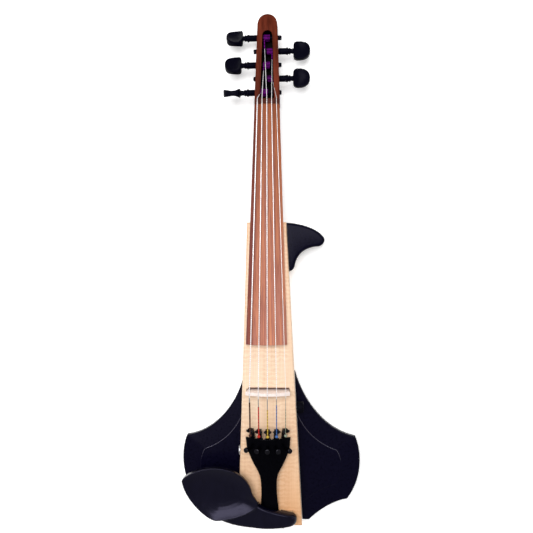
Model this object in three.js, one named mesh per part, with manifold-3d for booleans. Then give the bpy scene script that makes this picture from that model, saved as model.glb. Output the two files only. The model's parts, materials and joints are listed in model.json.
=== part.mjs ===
// Five-string electric violin with a plank body, two thin side wings and a hand stop.
// It lies on its back: X to the treble side, Y to the head, Z up to the player's eye, in millimetres.
// The origin is on the flat back of the plank, right below the bridge and on the string line.
import * as THREE from "three";
import { mergeVertices } from "three/addons/utils/BufferGeometryUtils.js";
import Module from "manifold-3d";

const wasm = await Module();
wasm.setup();

// Fits that several pieces share
const fit = { gap: 0.3, running: 0.3, overrun: 5 };

// The strings: where they lie at the nut and at the bridge, and how thick each one is
const strings = {
  length: 328,
  names: ["c", "g", "d", "a", "e"],
  radii: [0.6, 0.5, 0.46, 0.42, 0.3],
  nutSpacing: 5.45,
  bridgeSpacing: 10.2,
  ballRadius: 1.8,
  sides: 6,
};

// The plank, the maple block that everything is fixed to
const plank = {
  thickness: 35,
  topEnd: 194,
  tailEnd: 152.6,
  topHalfWidth: 22.6,
  tailHalfWidth: 36.75,
  topShift: -1.2,
  tailShift: 1.65,
  edgeRound: 2.4,
};

// The wings, as shares of their reach from the centre line and of their length from the top tip down
const wing = {
  reach: 104.1,
  trebleExtra: 1.6,
  top: 17.6,
  length: 173,
  back: 3.5,
  plateau: 15,
  edge: 11.5,
  edgeRound: 1.8,
  insideEnd: 8,
};
const wingOutlineShares = [
  [[0.288, 0], [0.347, 0.188], [0.61, 0.382], [0.949, 0.428]],
  [[0.949, 0.428], [1.023, 0.535], [1.023, 0.714], [0.849, 0.851]],
  [[0.849, 0.851], [0.749, 0.859], [0.576, 0.905], [0.4265, 0.995]],
];
const wingCreaseShares = [
  [[0.288, 0.229], [0.346, 0.379], [0.538, 0.478], [0.736, 0.516]],
  [[0.736, 0.516], [0.8, 0.564], [0.81, 0.682], [0.725, 0.742]],
  [[0.725, 0.742], [0.596, 0.761], [0.461, 0.807], [0.288, 0.899]],
];
const wingStepCounts = [11, 8, 8];
const wingEdgeRoundShare = 0.07;

// The hand stop at the plank's upper end, as shares of its reach and of its height
const horn = {
  reach: 65.6,
  height: 58,
  top: 30,
  back: 14,
  edgeRound: 3.4,
};
const hornOutlineShares = [
  [[0.25, 0], [0.5, -0.004], [0.86, 0.09], [0.985, 0.3]],
  [[0.985, 0.3], [1.02, 0.37], [0.97, 0.46], [0.9, 0.475]],
  [[0.9, 0.475], [0.62, 0.49], [0.5, 0.66], [0.47, 0.87]],
  [[0.47, 0.87], [0.455, 0.93], [0.42, 0.99], [0.25, 1]],
];
const hornStepCounts = [9, 6, 9, 4];

// The fingerboard and the neck under it
const board = {
  nutHalfWidth: 14.3,
  toBridge: 54.5,
  endHalfWidth: 23.4,
  endShift: -1.5,
  edge: 5,
  crown: 42,
  arcSteps: 12,
};
const neck = {
  nutDepth: 12.5,
  heelDepth: 15,
  heelLength: 24,
  heelFoot: 2,
  tenonHalfWidth: 11,
  tenonLength: 28,
  tenonDepth: 20,
  arcSteps: 14,
};
const nut = { length: 6.3, rise: 0.6, round: 1.6 };

// The head with its peg box
const head = {
  length: 103.7,
  nutHalfWidth: 14.4,
  tipHalfWidth: 11.2,
  topStep: 2,
  topFall: 13.7,
  nutDepth: 21,
  tipDepth: 15.5,
  chin: 12,
  edgeRound: 1.5,
};
const slot = {
  start: 1.4,
  toTip: 19.8,
  nutHalfWidth: 8.1,
  tipHalfWidth: 5.9,
  floor: 3.5,
};

// The pegs: which string each one holds, which side its thumb piece is on and how far it is turned
const peg = {
  first: 10.4,
  toSlotEnd: 6.7,
  below: 8.5,
  tipRadius: 2.65,
  collarRadius: 3.15,
  ringRadius: 3.7,
  ringWidth: 2.6,
  ringAt: 23.2,
  waistRadius: 2.6,
  reach: 48.6,
  thumbLength: 18.2,
  thumbRadius: 10.4,
  thumbThickness: 7.9,
  thumbOuterThickness: 5.2,
  dishRadius: 26,
  tipStandOut: 2,
  sides: 16,
};
const pegOrder = [
  { string: "c", side: -1, turn: 90, coilAt: -3.2 },
  { string: "e", side: 1, turn: 4, coilAt: 3.5 },
  { string: "g", side: -1, turn: 48, coilAt: -1.3 },
  { string: "a", side: 1, turn: -6, coilAt: 2.1 },
  { string: "d", side: -1, turn: 40, coilAt: -1.7 },
];
const coil = { turns: 3.25, steps: 8, between: 0.5 };

// The bridge and the piezo strip below it
const bridge = {
  height: 18.4,
  crown: 42,
  topHalfWidth: 25.2,
  baseHalfWidth: 23.9,
  flareFrom: 5.5,
  baseThickness: 5.2,
  topThickness: 2.6,
  slotDepth: 3,
  slotFront: 1,
  stripThickness: 1.4,
  grooveDepth: 0.7,
  arcSteps: 14,
};

// The tailpiece with its five built-in tuners
const tailpiece = {
  front: 50,
  length: 87,
  frontCrown: 15,
  tailCrown: 8.4,
  frontRadius: 44,
  tailRadius: 15,
  wall: 2,
  frontHalfWidth: 24.8,
  tailHalfWidth: 10.6,
  webLength: 9,
  webRoof: 1,
  arcSteps: 12,
};
const tailpieceWidthShares = [
  [0, 1], [0.045, 0.985], [0.2, 0.965], [0.31, 0.76], [0.43, 0.535],
  [0.55, 0.43], [0.68, 0.383], [0.82, 0.385], [1, 0.43],
];
const tuner = {
  screwBehind: 12,
  screwRadius: 1.25,
  headRadius: 2.9,
  headHeight: 5.4,
  collarRadius: 1.9,
  collarHeight: 2,
  headSides: 12,
  knurl: 0.25,
  leverWidth: 4.4,
  pivotBehind: 1.6,
  pivotBelow: 5.4,
  pivotRadius: 0.9,
  earWidth: 1.5,
  armThickness: 1.6,
  armBelow: 6.6,
  armLength: 13.4,
  hookAhead: 10.2,
  hookLength: 5.3,
  hookTop: 0.6,
  hookSlot: 1.8,
  prongFlare: 0.7,
  prongLean: 0.5,
  ballAhead: 2.3,
};
const tailgut = { radius: 0.95, halfSpacing: 4.2, sides: 8, inWeb: 6 };
const button = {
  below: 14,
  shankRadius: 3.9,
  shankLength: 18,
  collarRadius: 6.4,
  collarLength: 1.6,
  grooveRadius: 3.4,
  grooveLength: 3,
  headRadius: 5.8,
  headLength: 3.6,
  sides: 20,
};
const saddle = { halfWidth: 10, length: 6, rise: 1.6, drop: 4, lip: 0.8, round: 1.4 };

// The chin rest: a dished cup over the bass wing and an arm across the tailpiece
const chinrest = {
  cupHalfLength: 42.6,
  cupHalfWidth: 29,
  cupAt: [-53, -113],
  cupRim: 17.5,
  cupOuterRise: 3.5,
  cupFloor: 9,
  dish: 8.5,
  cupKeel: 4.5,
  rimRound: 2.4,
  backRound: 2,
  armAt: [-12, -140],
  armHalfLength: 44.6,
  armHalfWidth: 13.6,
  armTop: 17.6,
  armEdge: 8.5,
  foot: 3.2,
  footRound: 1.2,
  tunnelRoof: 11,
  tunnelHalfWidth: 12.4,
  tunnelShift: 2,
  steps: 48,
};
const cupOutlineShares = [
  [[-1.03, 0.55], [-1, 0.72], [-0.62, 1.05], [-0.17, 1.05]],
  [[-0.17, 1.05], [0.3, 1.05], [0.74, 0.72], [0.83, 0.07]],
  [[0.83, 0.07], [0.88, -0.18], [1.04, -0.36], [0.97, -0.5]],
  [[0.97, -0.5], [0.84, -0.8], [0.25, -1.16], [-0.094, -0.955]],
  [[-0.094, -0.955], [-0.384, -0.79], [-0.95, -0.08], [-1.03, 0.55]],
];
const armOutlineShares = [
  [[-1.08, -0.02], [-0.9, 0.9], [-0.28, 1.2], [0.02, 1.2]],
  [[0.02, 1.2], [0.24, 0.8], [0.6, 0.55], [0.88, 0.36]],
  [[0.88, 0.36], [1.03, 0.26], [1.05, -0.42], [0.88, -0.66]],
  [[0.88, -0.66], [0.6, -0.93], [0.1, -0.93], [-0.14, -0.82]],
  [[-0.14, -0.82], [-0.5, -0.69], [-0.85, -0.42], [-1.08, -0.02]],
];
const outlineStepCounts = [10, 9, 6, 10, 9];
const cupRimShare = 0.9;
const pad = { length: 9, halfWidth: 7, at: 139.6 };
const clamp = {
  halfSpacing: 14,
  postRadius: 1.3,
  barrelRadius: 2.4,
  barrelLength: 18,
  barrelBack: 8,
  standOff: 0.5,
  lugThickness: 1.3,
  lugHalfWidth: 2.5,
  lugInside: 8,
  tabAbove: 0.8,
  tabLip: 0.7,
  upperPost: 10,
  lowerPost: 10,
  footThickness: 2,
  padThickness: 1.5,
  footLength: 14,
  footHalfWidth: 19,
  sides: 12,
};

// The electrics: pot and knob in the treble wall, jack in the bass wall, a cavity between them
const cavity = {
  front: 12,
  length: 72,
  bassHalfWidth: 21,
  trebleHalfWidth: 22,
  roof: 5,
  rebate: 3,
  coverThickness: 2,
  coverRecess: 0.2,
  screwInset: 4,
  lip: 7,
  cornerRadius: 4,
};
const knob = {
  at: 19.4,
  below: 10,
  radius: 6.7,
  height: 8,
  skirt: 0.6,
  chamfer: 0.8,
  flutes: 18,
  fluteDepth: 0.3,
  bore: 3,
  boreDepth: 6,
};
const pot = {
  shaftRadius: 2.7,
  shaftStandOut: 5.4,
  bushRadius: 3.4,
  bodyRadius: 4.6,
  bodyLength: 8,
  lugs: 3,
  sides: 24,
};
const jack = {
  at: 69.5,
  below: 10,
  ringRadius: 5.6,
  ringStandOut: 2,
  tubeRadius: 4.7,
  bore: 3.3,
  boreDepth: 24,
  length: 28,
  sides: 24,
};
const screw = { headRadius: 2.8, headHeight: 1.5, shankRadius: 1.4, length: 10, sides: 16 };
const lead = { radius: 0.8, sides: 8, holeRadius: 1.6 };

// Finishes
const finish = (color, roughness, metalness) =>
  new THREE.MeshStandardMaterial({ color, roughness, metalness });
const finishes = {
  maple: finish(0xf3dcc0, 0.42, 0),
  redwood: finish(0x8a4630, 0.5, 0),
  boardWood: finish(0xb97552, 0.5, 0),
  satinBlack: finish(0x17171d, 0.5, 0),
  ebony: finish(0x0e0e12, 0.38, 0),
  bone: finish(0xece2d8, 0.55, 0),
  brass: finish(0xb69a5e, 0.35, 0.9),
  blackMetal: finish(0x131318, 0.3, 0.7),
  steel: finish(0xc4c6ca, 0.28, 1),
  wire: finish(0xd5d6da, 0.3, 1),
  cork: finish(0xb08a5c, 0.85, 0),
  darkPlastic: finish(0x1b1b1f, 0.55, 0),
};

const group = new THREE.Group();

function add(name, geometry, material, parent = group) {
  const mesh = new THREE.Mesh(geometry, material);
  mesh.name = name;
  parent.add(mesh);
  return mesh;
}

// Booleans: a geometry goes in and a geometry comes out
function solidOf(geometry) {
  const plain = geometry.clone();
  plain.deleteAttribute("normal");
  plain.deleteAttribute("uv");
  const merged = mergeVertices(plain, 1e-4);
  return new wasm.Manifold(
    new wasm.Mesh({
      numProp: 3,
      vertProperties: merged.attributes.position.array,
      triVerts: new Uint32Array(merged.index.array),
    }),
  );
}

function geometryOf(solid) {
  const mesh = solid.getMesh();
  const geometry = new THREE.BufferGeometry();
  geometry.setAttribute("position", new THREE.BufferAttribute(mesh.vertProperties, 3));
  geometry.setIndex(new THREE.BufferAttribute(mesh.triVerts, 1));
  return geometry;
}

function combine(first, others, operation) {
  let result = solidOf(first);
  for (const other of others) result = result[operation](solidOf(other));
  return geometryOf(result);
}

const join = (first, ...others) => combine(first, others, "add");
const cut = (first, ...others) => combine(first, others, "subtract");
const meet = (first, ...others) => combine(first, others, "intersect");

// A closed mesh from points and triangles, turned so that its faces point out
function closedMesh(points, triangles) {
  let volume = 0;
  for (const [a, b, c] of triangles) {
    volume += points[a].dot(new THREE.Vector3().crossVectors(points[b], points[c]));
  }
  const facing = volume < 0 ? triangles.map(([a, b, c]) => [a, c, b]) : triangles;
  const geometry = new THREE.BufferGeometry();
  geometry.setAttribute(
    "position",
    new THREE.Float32BufferAttribute(points.flatMap((p) => [p.x, p.y, p.z]), 3),
  );
  geometry.setIndex(facing.flat());
  return geometry;
}

// A loft through rings of equal count, each end closed by a flat or nearly flat cap
function loft(rings, across = "x", up = "y") {
  const count = rings[0].length;
  const triangles = [];
  for (let r = 0; r + 1 < rings.length; r++) {
    for (let i = 0; i < count; i++) {
      const a = r * count + i;
      const b = r * count + ((i + 1) % count);
      triangles.push([a, b, b + count], [a, b + count, a + count]);
    }
  }
  const capOf = (ring, offset, flipped) => {
    const flat = ring.map((p) => new THREE.Vector2(p[across], p[up]));
    const turn = Math.sign(THREE.ShapeUtils.area(flat));
    for (const [a, b, c] of THREE.ShapeUtils.triangulateShape(flat, [])) {
      const area = THREE.ShapeUtils.area([flat[a], flat[b], flat[c]]);
      const same = Math.sign(area) === turn;
      const face = same !== flipped ? [a, b, c] : [a, c, b];
      triangles.push(face.map((index) => index + offset));
    }
  };
  capOf(rings[0], 0, true);
  capOf(rings.at(-1), (rings.length - 1) * count, false);
  return closedMesh(rings.flat(), triangles);
}

// A round tube along points, whose radius may change from point to point
function tube(path, radii, sides) {
  const along = path.map((p, i) =>
    path[Math.min(i + 1, path.length - 1)].clone().sub(path[Math.max(i - 1, 0)]).normalize(),
  );
  const steep = Math.abs(along[0].z) > Math.abs(along[0].y);
  let normal = steep ? new THREE.Vector3(0, 1, 0) : new THREE.Vector3(0, 0, 1);
  const rings = path.map((p, i) => {
    normal = normal.clone().addScaledVector(along[i], -normal.dot(along[i])).normalize();
    const side = new THREE.Vector3().crossVectors(along[i], normal);
    return Array.from({ length: sides }, (_, k) => {
      const angle = (k / sides) * 2 * Math.PI;
      return p
        .clone()
        .addScaledVector(normal, radii[i] * Math.cos(angle))
        .addScaledVector(side, radii[i] * Math.sin(angle));
    });
  });
  const triangles = [];
  for (let r = 0; r + 1 < rings.length; r++) {
    for (let k = 0; k < sides; k++) {
      const a = r * sides + k;
      const b = r * sides + ((k + 1) % sides);
      triangles.push([a, b, b + sides], [a, b + sides, a + sides]);
    }
  }
  const last = (rings.length - 1) * sides;
  for (let k = 1; k + 1 < sides; k++) {
    triangles.push([0, k + 1, k], [last, last + k, last + k + 1]);
  }
  return closedMesh(rings.flat(), triangles);
}

// Plain shapes placed in the violin's frame
const point = (x, y, z) => new THREE.Vector3(x, y, z);

function block(x0, x1, y0, y1, z0, z1) {
  const geometry = new THREE.BoxGeometry(x1 - x0, y1 - y0, z1 - z0);
  return geometry.translate((x0 + x1) / 2, (y0 + y1) / 2, (z0 + z1) / 2);
}

function upright(points, z0, z1) {
  const shape = new THREE.Shape(points.map(([x, y]) => new THREE.Vector2(x, y)));
  const geometry = new THREE.ExtrudeGeometry(shape, { depth: z1 - z0, bevelEnabled: false });
  return geometry.translate(0, 0, z0);
}

// An outline in Y and Z, drawn out along X
function acrossX(points, x0, x1) {
  const shape = new THREE.Shape(points.map(([y, z]) => new THREE.Vector2(y, z)));
  const geometry = new THREE.ExtrudeGeometry(shape, { depth: x1 - x0, bevelEnabled: false });
  const turn = new THREE.Matrix4().set(0, 0, 1, x0, 1, 0, 0, 0, 0, 1, 0, 0, 0, 0, 0, 1);
  return geometry.applyMatrix4(turn);
}

// An outline in X and Z, drawn out along Y
function alongY(points, y0, y1) {
  const shape = new THREE.Shape(points.map(([x, z]) => new THREE.Vector2(-x, z)));
  const geometry = new THREE.ExtrudeGeometry(shape, { depth: y1 - y0, bevelEnabled: false });
  const turn = new THREE.Matrix4().set(-1, 0, 0, 0, 0, 0, 1, y0, 0, 1, 0, 0, 0, 0, 0, 1);
  return geometry.applyMatrix4(turn);
}

// A turned piece: its profile is radius and height, and its axis then points along a direction
function turned(profile, sides, direction, at) {
  const points = profile.map(([radius, height]) => new THREE.Vector2(radius, height));
  const geometry = new THREE.LatheGeometry(points, sides);
  const turn = new THREE.Quaternion().setFromUnitVectors(point(0, 1, 0), direction);
  return geometry.applyQuaternion(turn).translate(at.x, at.y, at.z);
}

function rod(radius, length, sides, direction, at) {
  return turned([[0, 0], [radius, 0], [radius, length], [0, length]], sides, direction, at);
}

const alongPlusX = point(1, 0, 0);
const alongMinusX = point(-1, 0, 0);
const alongMinusY = point(0, -1, 0);
const alongPlusZ = point(0, 0, 1);
const lerp = THREE.MathUtils.lerp;

// Curves written as shares, taken to real sizes by a placing function
function curvePoints(shareRows, counts, place) {
  const points = [];
  shareRows.forEach((row, index) => {
    const [a, b, c, d] = row.map(([x, y]) => new THREE.Vector2(...place(x, y)));
    const curve = new THREE.CubicBezierCurve(a, b, c, d);
    for (let i = 0; i < counts[index]; i++) {
      const p = curve.getPoint(i / counts[index]);
      points.push([p.x, p.y]);
    }
    if (index === shareRows.length - 1) points.push([d.x, d.y]);
  });
  return points;
}

// The same outline, moved inwards by a distance
function inset(points, distance) {
  const turn = Math.sign(THREE.ShapeUtils.area(points.map(([x, y]) => new THREE.Vector2(x, y))));
  return points.map(([x, y], i) => {
    const [px, py] = points[(i + points.length - 1) % points.length];
    const [nx, ny] = points[(i + 1) % points.length];
    const length = Math.hypot(nx - px, ny - py);
    return [x - (turn * distance * (ny - py)) / length, y + (turn * distance * (nx - px)) / length];
  });
}

// Named heights and places that several pieces share
const top = plank.thickness;
const plankLength = plank.topEnd + plank.tailEnd;
const downPlank = (y) => (plank.topEnd - y) / plankLength;
const centreAt = (y) => lerp(plank.topShift, plank.tailShift, downPlank(y));
const plankHalfAt = (y) => lerp(plank.topHalfWidth, plank.tailHalfWidth, downPlank(y));
const wallAt = (side, y) => centreAt(y) + side * plankHalfAt(y);
const nutFront = strings.length;
const nutBack = nutFront + nut.length;
const boardEnd = board.toBridge;
const downBoard = (y) => (nutFront - y) / (nutFront - boardEnd);
const boardHalfAt = (y) => lerp(board.nutHalfWidth, board.endHalfWidth, downBoard(y));
const boardCentreAt = (y) => board.endShift * Math.max(downBoard(y), 0);
const crownDrop = (radius, x) => radius - Math.sqrt(Math.max(radius * radius - x * x, 0));
const middle = (strings.names.length - 1) / 2;
const nutTop = top + board.edge + crownDrop(board.crown, board.nutHalfWidth) + nut.rise;
const bridgeTop = top + bridge.height;
const headTip = nutBack + head.length;
const headTopAt = (y) => top + head.topStep - (head.topFall * (y - nutBack)) / head.length;
const headDepthAt = (y) => lerp(head.nutDepth, head.tipDepth, (y - nutBack) / head.length);
const headHalfAt = (y) => lerp(head.nutHalfWidth, head.tipHalfWidth, (y - nutBack) / head.length);
const slotEnd = headTip - slot.toTip;
const pegSpacing = (slotEnd - peg.toSlotEnd - nutBack - peg.first) / (pegOrder.length - 1);
const pegAt = (index) => nutBack + peg.first + index * pegSpacing;
const pegAxisAt = (index) => headTopAt(pegAt(index)) - peg.below;

// The plank's outline, grown or shrunk by a margin on its long sides
function plankOutline(margin, endMargin) {
  const yTop = plank.topEnd + endMargin;
  const yTail = -plank.tailEnd - endMargin;
  return [
    [wallAt(-1, yTop) - margin, yTop],
    [wallAt(-1, yTail) - margin, yTail],
    [wallAt(1, yTail) + margin, yTail],
    [wallAt(1, yTop) + margin, yTop],
  ];
}

function plankBody() {
  const round = plank.edgeRound;
  const shape = new THREE.Shape(
    plankOutline(-round, -round).map(([x, y]) => new THREE.Vector2(x, y)),
  );
  const settings = { depth: top - 2 * round, bevelSize: round, bevelThickness: round };
  const geometry = new THREE.ExtrudeGeometry(shape, { ...settings, bevelSegments: 3 });
  return geometry.translate(0, 0, round);
}

// Where each string lies at the nut, on the bridge and at its tuner
function stringPlaces(index) {
  const step = index - middle;
  const radius = strings.radii[index];
  const nutX = step * strings.nutSpacing;
  const bridgeX = step * strings.bridgeSpacing;
  const atNut = nutTop - crownDrop(board.crown, nutX) + radius;
  const atBridge = bridgeTop - crownDrop(bridge.crown, bridgeX) + radius;
  return { radius, nutX, bridgeX, atNut, atBridge };
}

// The tuners stand square to the tailpiece's arched top, turned about the arch's centre line
const archRadius = tailpiece.frontRadius;
const archHeight = top + tailpiece.frontCrown - archRadius;
const tunerAngle = (index) => Math.asin(((index - middle) * strings.bridgeSpacing) / archRadius);

function tunerPlace(index, along, radial, sideways = 0) {
  const angle = tunerAngle(index);
  const x = radial * Math.sin(angle) + sideways * Math.cos(angle);
  const z = archHeight + radial * Math.cos(angle) - sideways * Math.sin(angle);
  return point(x, -tailpiece.front + along, z);
}

function atTuner(index, geometry) {
  geometry.rotateY(tunerAngle(index));
  return geometry.translate(0, -tailpiece.front, archHeight);
}

// A string's route from its ball at the tuner over bridge and nut to its peg
function stringRoute(index) {
  const { radius, nutX, bridgeX, atNut, atBridge } = stringPlaces(index);
  const order = pegOrder.findIndex((row) => row.string === strings.names[index]);
  const row = pegOrder[order];
  const ball = tunerPlace(index, tuner.ballAhead, archRadius - strings.ballRadius / 2);
  const overBridge = point(bridgeX, 0, atBridge);
  const pull = overBridge.clone().sub(ball).normalize();
  const route = [];
  const radii = [];
  const ballShares = [-0.97, -0.7, -0.2, 0.35, 0.8];
  for (const share of ballShares) {
    route.push(ball.clone().addScaledVector(pull, share * strings.ballRadius));
    radii.push(strings.ballRadius * Math.sqrt(1 - share * share));
  }
  route.push(ball.clone().addScaledVector(pull, strings.ballRadius + radius));
  route.push(overBridge.clone().addScaledVector(pull, -bridge.topThickness));
  route.push(point(bridgeX, bridge.topThickness / 2, atBridge));
  route.push(point(nutX, nutFront, atNut), point(nutX, nutBack, atNut));
  const pitch = 2 * radius + coil.between;
  const width = coil.turns * pitch;
  const start = row.coilAt - (row.side * width) / 2;
  const steps = Math.round(coil.turns * coil.steps);
  const axis = pegAxisAt(order);
  for (let i = 0; i <= steps; i++) {
    const angle = (i / coil.steps) * 2 * Math.PI;
    const x = start + (row.side * width * i) / steps;
    const reach = pegRadiusAt(row.side, x) + fit.gap + radius;
    const away = point(0, Math.sin(angle) * reach, Math.cos(angle) * reach);
    route.push(point(x, pegAt(order), axis).add(away));
  }
  while (radii.length < route.length) radii.push(radius);
  const onCoil = route.slice(-steps - 1);
  const leaving = onCoil[1].clone().sub(onCoil[0]);
  const last = route.at(-1).clone().sub(route.at(-2)).setLength(2 * radius);
  route.push(route.at(-1).clone().add(last));
  radii.push(radius);
  return { route, radii, radius, onCoil, leaving };
}

// The least gap of a coil to itself, measured on its points a turn apart
function coilGap(onCoil, radius) {
  let least = Infinity;
  for (let i = 0; i < onCoil.length; i++) {
    for (let j = i + coil.steps - 2; j < onCoil.length; j++) {
      least = Math.min(least, onCoil[i].distanceTo(onCoil[j]) - 2 * radius);
    }
  }
  return least;
}

// A peg's radius under its windings: it tapers from its collar to its tip
function pegRadiusAt(side, x) {
  const tip = head.nutHalfWidth + peg.tipStandOut;
  const share = (side * x + tip) / (peg.ringAt + tip);
  return lerp(peg.tipRadius, peg.collarRadius, share);
}

function addPlank() {
  const strip = bridgeSlot();
  const inside = plankPocket();
  const tenon = block(
    -neck.tenonHalfWidth, neck.tenonHalfWidth,
    plank.topEnd - neck.tenonLength, plank.topEnd + fit.overrun,
    top - neck.tenonDepth, top + fit.overrun,
  );
  const saddleSeat = block(
    plank.tailShift - saddle.halfWidth, plank.tailShift + saddle.halfWidth,
    -plank.tailEnd - fit.overrun, -plank.tailEnd + saddle.length,
    top - saddle.drop, top + fit.overrun,
  );
  const buttonHole = rod(
    button.shankRadius + fit.gap, button.shankLength + fit.overrun, button.sides,
    point(0, 1, 0), point(plank.tailShift, -plank.tailEnd - fit.overrun, top - button.below),
  );
  const knobHole = rod(
    pot.bushRadius + fit.gap, plankHalfAt(-knob.at) + fit.overrun, pot.sides,
    alongPlusX, point(centreAt(-knob.at), -knob.at, top - knob.below),
  );
  const jackHole = rod(
    jack.tubeRadius + fit.gap, plankHalfAt(-jack.at) + fit.overrun, jack.sides,
    alongMinusX, point(centreAt(-jack.at), -jack.at, top - jack.below),
  );
  const rebate = clamp.footThickness + clamp.padThickness + 2 * fit.gap;
  const footSeat = block(
    plank.tailShift - clamp.footHalfWidth - fit.gap, plank.tailShift + clamp.footHalfWidth + fit.gap,
    -plank.tailEnd - fit.overrun, -plank.tailEnd + clamp.footLength + fit.gap,
    -fit.overrun, rebate,
  );
  const holes = coverCorners().map(([x, y]) =>
    rod(
      screw.shankRadius + fit.gap, cavity.rebate + screw.length + fit.overrun, screw.sides,
      alongPlusZ, point(x, y, -fit.overrun),
    ),
  );
  const leadHole = rod(
    lead.holeRadius, top, screw.sides, alongPlusZ,
    point(leadX, leadY, top - cavity.roof - fit.overrun),
  );
  const body = cut(
    plankBody(), strip, ...inside, tenon, saddleSeat, buttonHole,
    knobHole, jackHole, footSeat, ...holes, leadHole,
  );
  add("centre_block", body, finishes.maple);
}

// The slot that the bridge stands in, a little longer towards the fingerboard
function bridgeSlot() {
  return block(
    -bridge.baseHalfWidth - bridge.slotFront, bridge.baseHalfWidth + bridge.slotFront,
    -bridge.baseThickness / 2 - fit.gap, bridge.baseThickness / 2 + bridge.slotFront,
    top - bridge.slotDepth - bridge.stripThickness, top + fit.overrun,
  );
}

const leadX = -cavity.bassHalfWidth + lead.holeRadius + lead.radius;
const leadY = 0;

// The cavity behind, its step for the cover, and a channel that reaches to the pickup's lead
function plankPocket() {
  const y1 = -cavity.front;
  const y0 = y1 - cavity.length;
  const roof = top - cavity.roof;
  const pocket = block(
    -cavity.bassHalfWidth, cavity.trebleHalfWidth, y0, y1, -fit.overrun, roof,
  );
  const step = block(
    -cavity.bassHalfWidth - cavity.lip, cavity.trebleHalfWidth + cavity.lip,
    y0 - cavity.lip, y1 + cavity.lip, -fit.overrun, cavity.rebate,
  );
  const channel = block(
    leadX - lead.holeRadius, leadX + lead.holeRadius, y1 - fit.overrun, leadY + lead.holeRadius,
    roof - cavity.lip, roof,
  );
  return [pocket, step, channel];
}

function coverCorners() {
  const out = cavity.lip - cavity.screwInset;
  const xs = [-cavity.bassHalfWidth - out, cavity.trebleHalfWidth + out];
  const ys = [-cavity.front + out, -cavity.front - cavity.length - out];
  return ys.flatMap((y) => xs.map((x) => [x, y]));
}

function addCover() {
  const spare = cavity.lip - fit.gap;
  const z0 = cavity.rebate - cavity.coverThickness;
  let plate = block(
    -cavity.bassHalfWidth - spare, cavity.trebleHalfWidth + spare,
    -cavity.front - cavity.length - spare, -cavity.front + spare, z0, cavity.rebate,
  );
  const sinks = coverCorners().map(([x, y]) =>
    rod(
      screw.shankRadius + fit.gap, cavity.rebate + fit.overrun, screw.sides,
      alongPlusZ, point(x, y, 0),
    ),
  );
  const cones = coverCorners().map(([x, y]) => screwHead(x, y, z0, fit.gap, fit.overrun));
  plate = cut(plate, ...sinks, ...cones);
  add("cavity_cover", plate, finishes.darkPlastic);
  coverCorners().forEach(([x, y], index) => {
    const body = join(
      screwHead(x, y, z0, 0, 0),
      rod(screw.shankRadius, screw.length, screw.sides, alongPlusZ, point(x, y, z0)),
    );
    add("cover_screw_" + (index + 1), body, finishes.blackMetal);
  });
}

// A countersunk head with its flat side outwards, grown by a gap for its seat
function screwHead(x, y, z0, gap, overrun) {
  const radius = screw.headRadius + gap;
  const profile = [
    [0, -overrun], [radius, -overrun], [radius, 0],
    [screw.shankRadius + gap, screw.headHeight], [0, screw.headHeight],
  ];
  const trimmed = overrun > 0 ? profile : profile.slice(0, 2).concat(profile.slice(3));
  return turned(trimmed, screw.sides, alongPlusZ, point(x, y, z0));
}

// A wing: rings from its back edge up to its rim, then in to the raised middle
function wingRing(side, share, z) {
  const reach = side > 0 ? wing.reach + wing.trebleExtra : wing.reach;
  const place = (x, y) => [x * reach, wing.top - y * wing.length];
  const outer = curvePoints(wingOutlineShares, wingStepCounts, place);
  const inner = curvePoints(wingCreaseShares, wingStepCounts, place);
  const ring = outer.map(([x, y], i) => [lerp(x, inner[i][0], share), lerp(y, inner[i][1], share)]);
  ring.push([wing.insideEnd, ring.at(-1)[1]]);
  ring.push([wing.insideEnd, ring[0][1]]);
  return ring.map(([x, y]) => point(centreAt(y) + side * x, y, z));
}

function addWing(name, side) {
  const rings = [
    wingRing(side, wingEdgeRoundShare, wing.back),
    wingRing(side, 0, wing.back + wing.edgeRound),
    wingRing(side, 0, wing.edge - wing.edgeRound),
    wingRing(side, wingEdgeRoundShare, wing.edge),
    wingRing(side, 1, wing.plateau),
  ];
  const core = upright(plankOutline(fit.gap, plankLength), -fit.overrun, top + fit.overrun);
  add(name, cut(loft(rings), core), finishes.satinBlack);
}

function addHorn() {
  const place = (x, y) => [x * horn.reach, plank.topEnd - y * horn.height];
  const outline = curvePoints(hornOutlineShares, hornStepCounts, place);
  const round = horn.edgeRound;
  const levels = [0, 0.3, 0.7, 1].map((share) => {
    const angle = (share * Math.PI) / 2;
    return [round * (1 - Math.sin(angle)), round * (1 - Math.cos(angle))];
  });
  const ringAt = (distance, z) => inset(outline, distance).map(([x, y]) => point(x, y, z));
  const rings = [
    ...levels.map(([distance, rise]) => ringAt(distance, horn.back + rise)),
    ...levels.reverse().map(([distance, rise]) => ringAt(distance, horn.top - rise)),
  ];
  const core = upright(plankOutline(fit.gap, plankLength), -fit.overrun, top + fit.overrun);
  add("hand_stop_horn", cut(loft(rings), core), finishes.satinBlack);
}

// The fingerboard: flat below and crowned above, wider towards the bridge
function boardSection(y, lift = 0) {
  const half = boardHalfAt(y);
  const middleX = boardCentreAt(y);
  const edge = top + board.edge + lift;
  const crown = crownDrop(board.crown, half);
  const section = [point(middleX + half, y, top), point(middleX - half, y, top)];
  for (let i = 0; i <= board.arcSteps; i++) {
    const x = lerp(-half, half, i / board.arcSteps);
    section.push(point(middleX + x, y, edge + crown - crownDrop(board.crown, x)));
  }
  return section;
}

function addBoard() {
  const body = loft([boardSection(nutFront), boardSection(boardEnd)], "x", "z");
  add("fingerboard", body, finishes.boardWood);
}

// The neck's section: flat on top under the board and rounded below
function neckSection(y, half, depth) {
  const section = [];
  for (let i = 0; i <= neck.arcSteps; i++) {
    const angle = (i / neck.arcSteps) * Math.PI;
    const fullness = Math.pow(Math.sin(angle), 0.75);
    section.push(point(boardCentreAt(y) + half * Math.cos(angle), y, top - depth * fullness));
  }
  return section;
}

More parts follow.
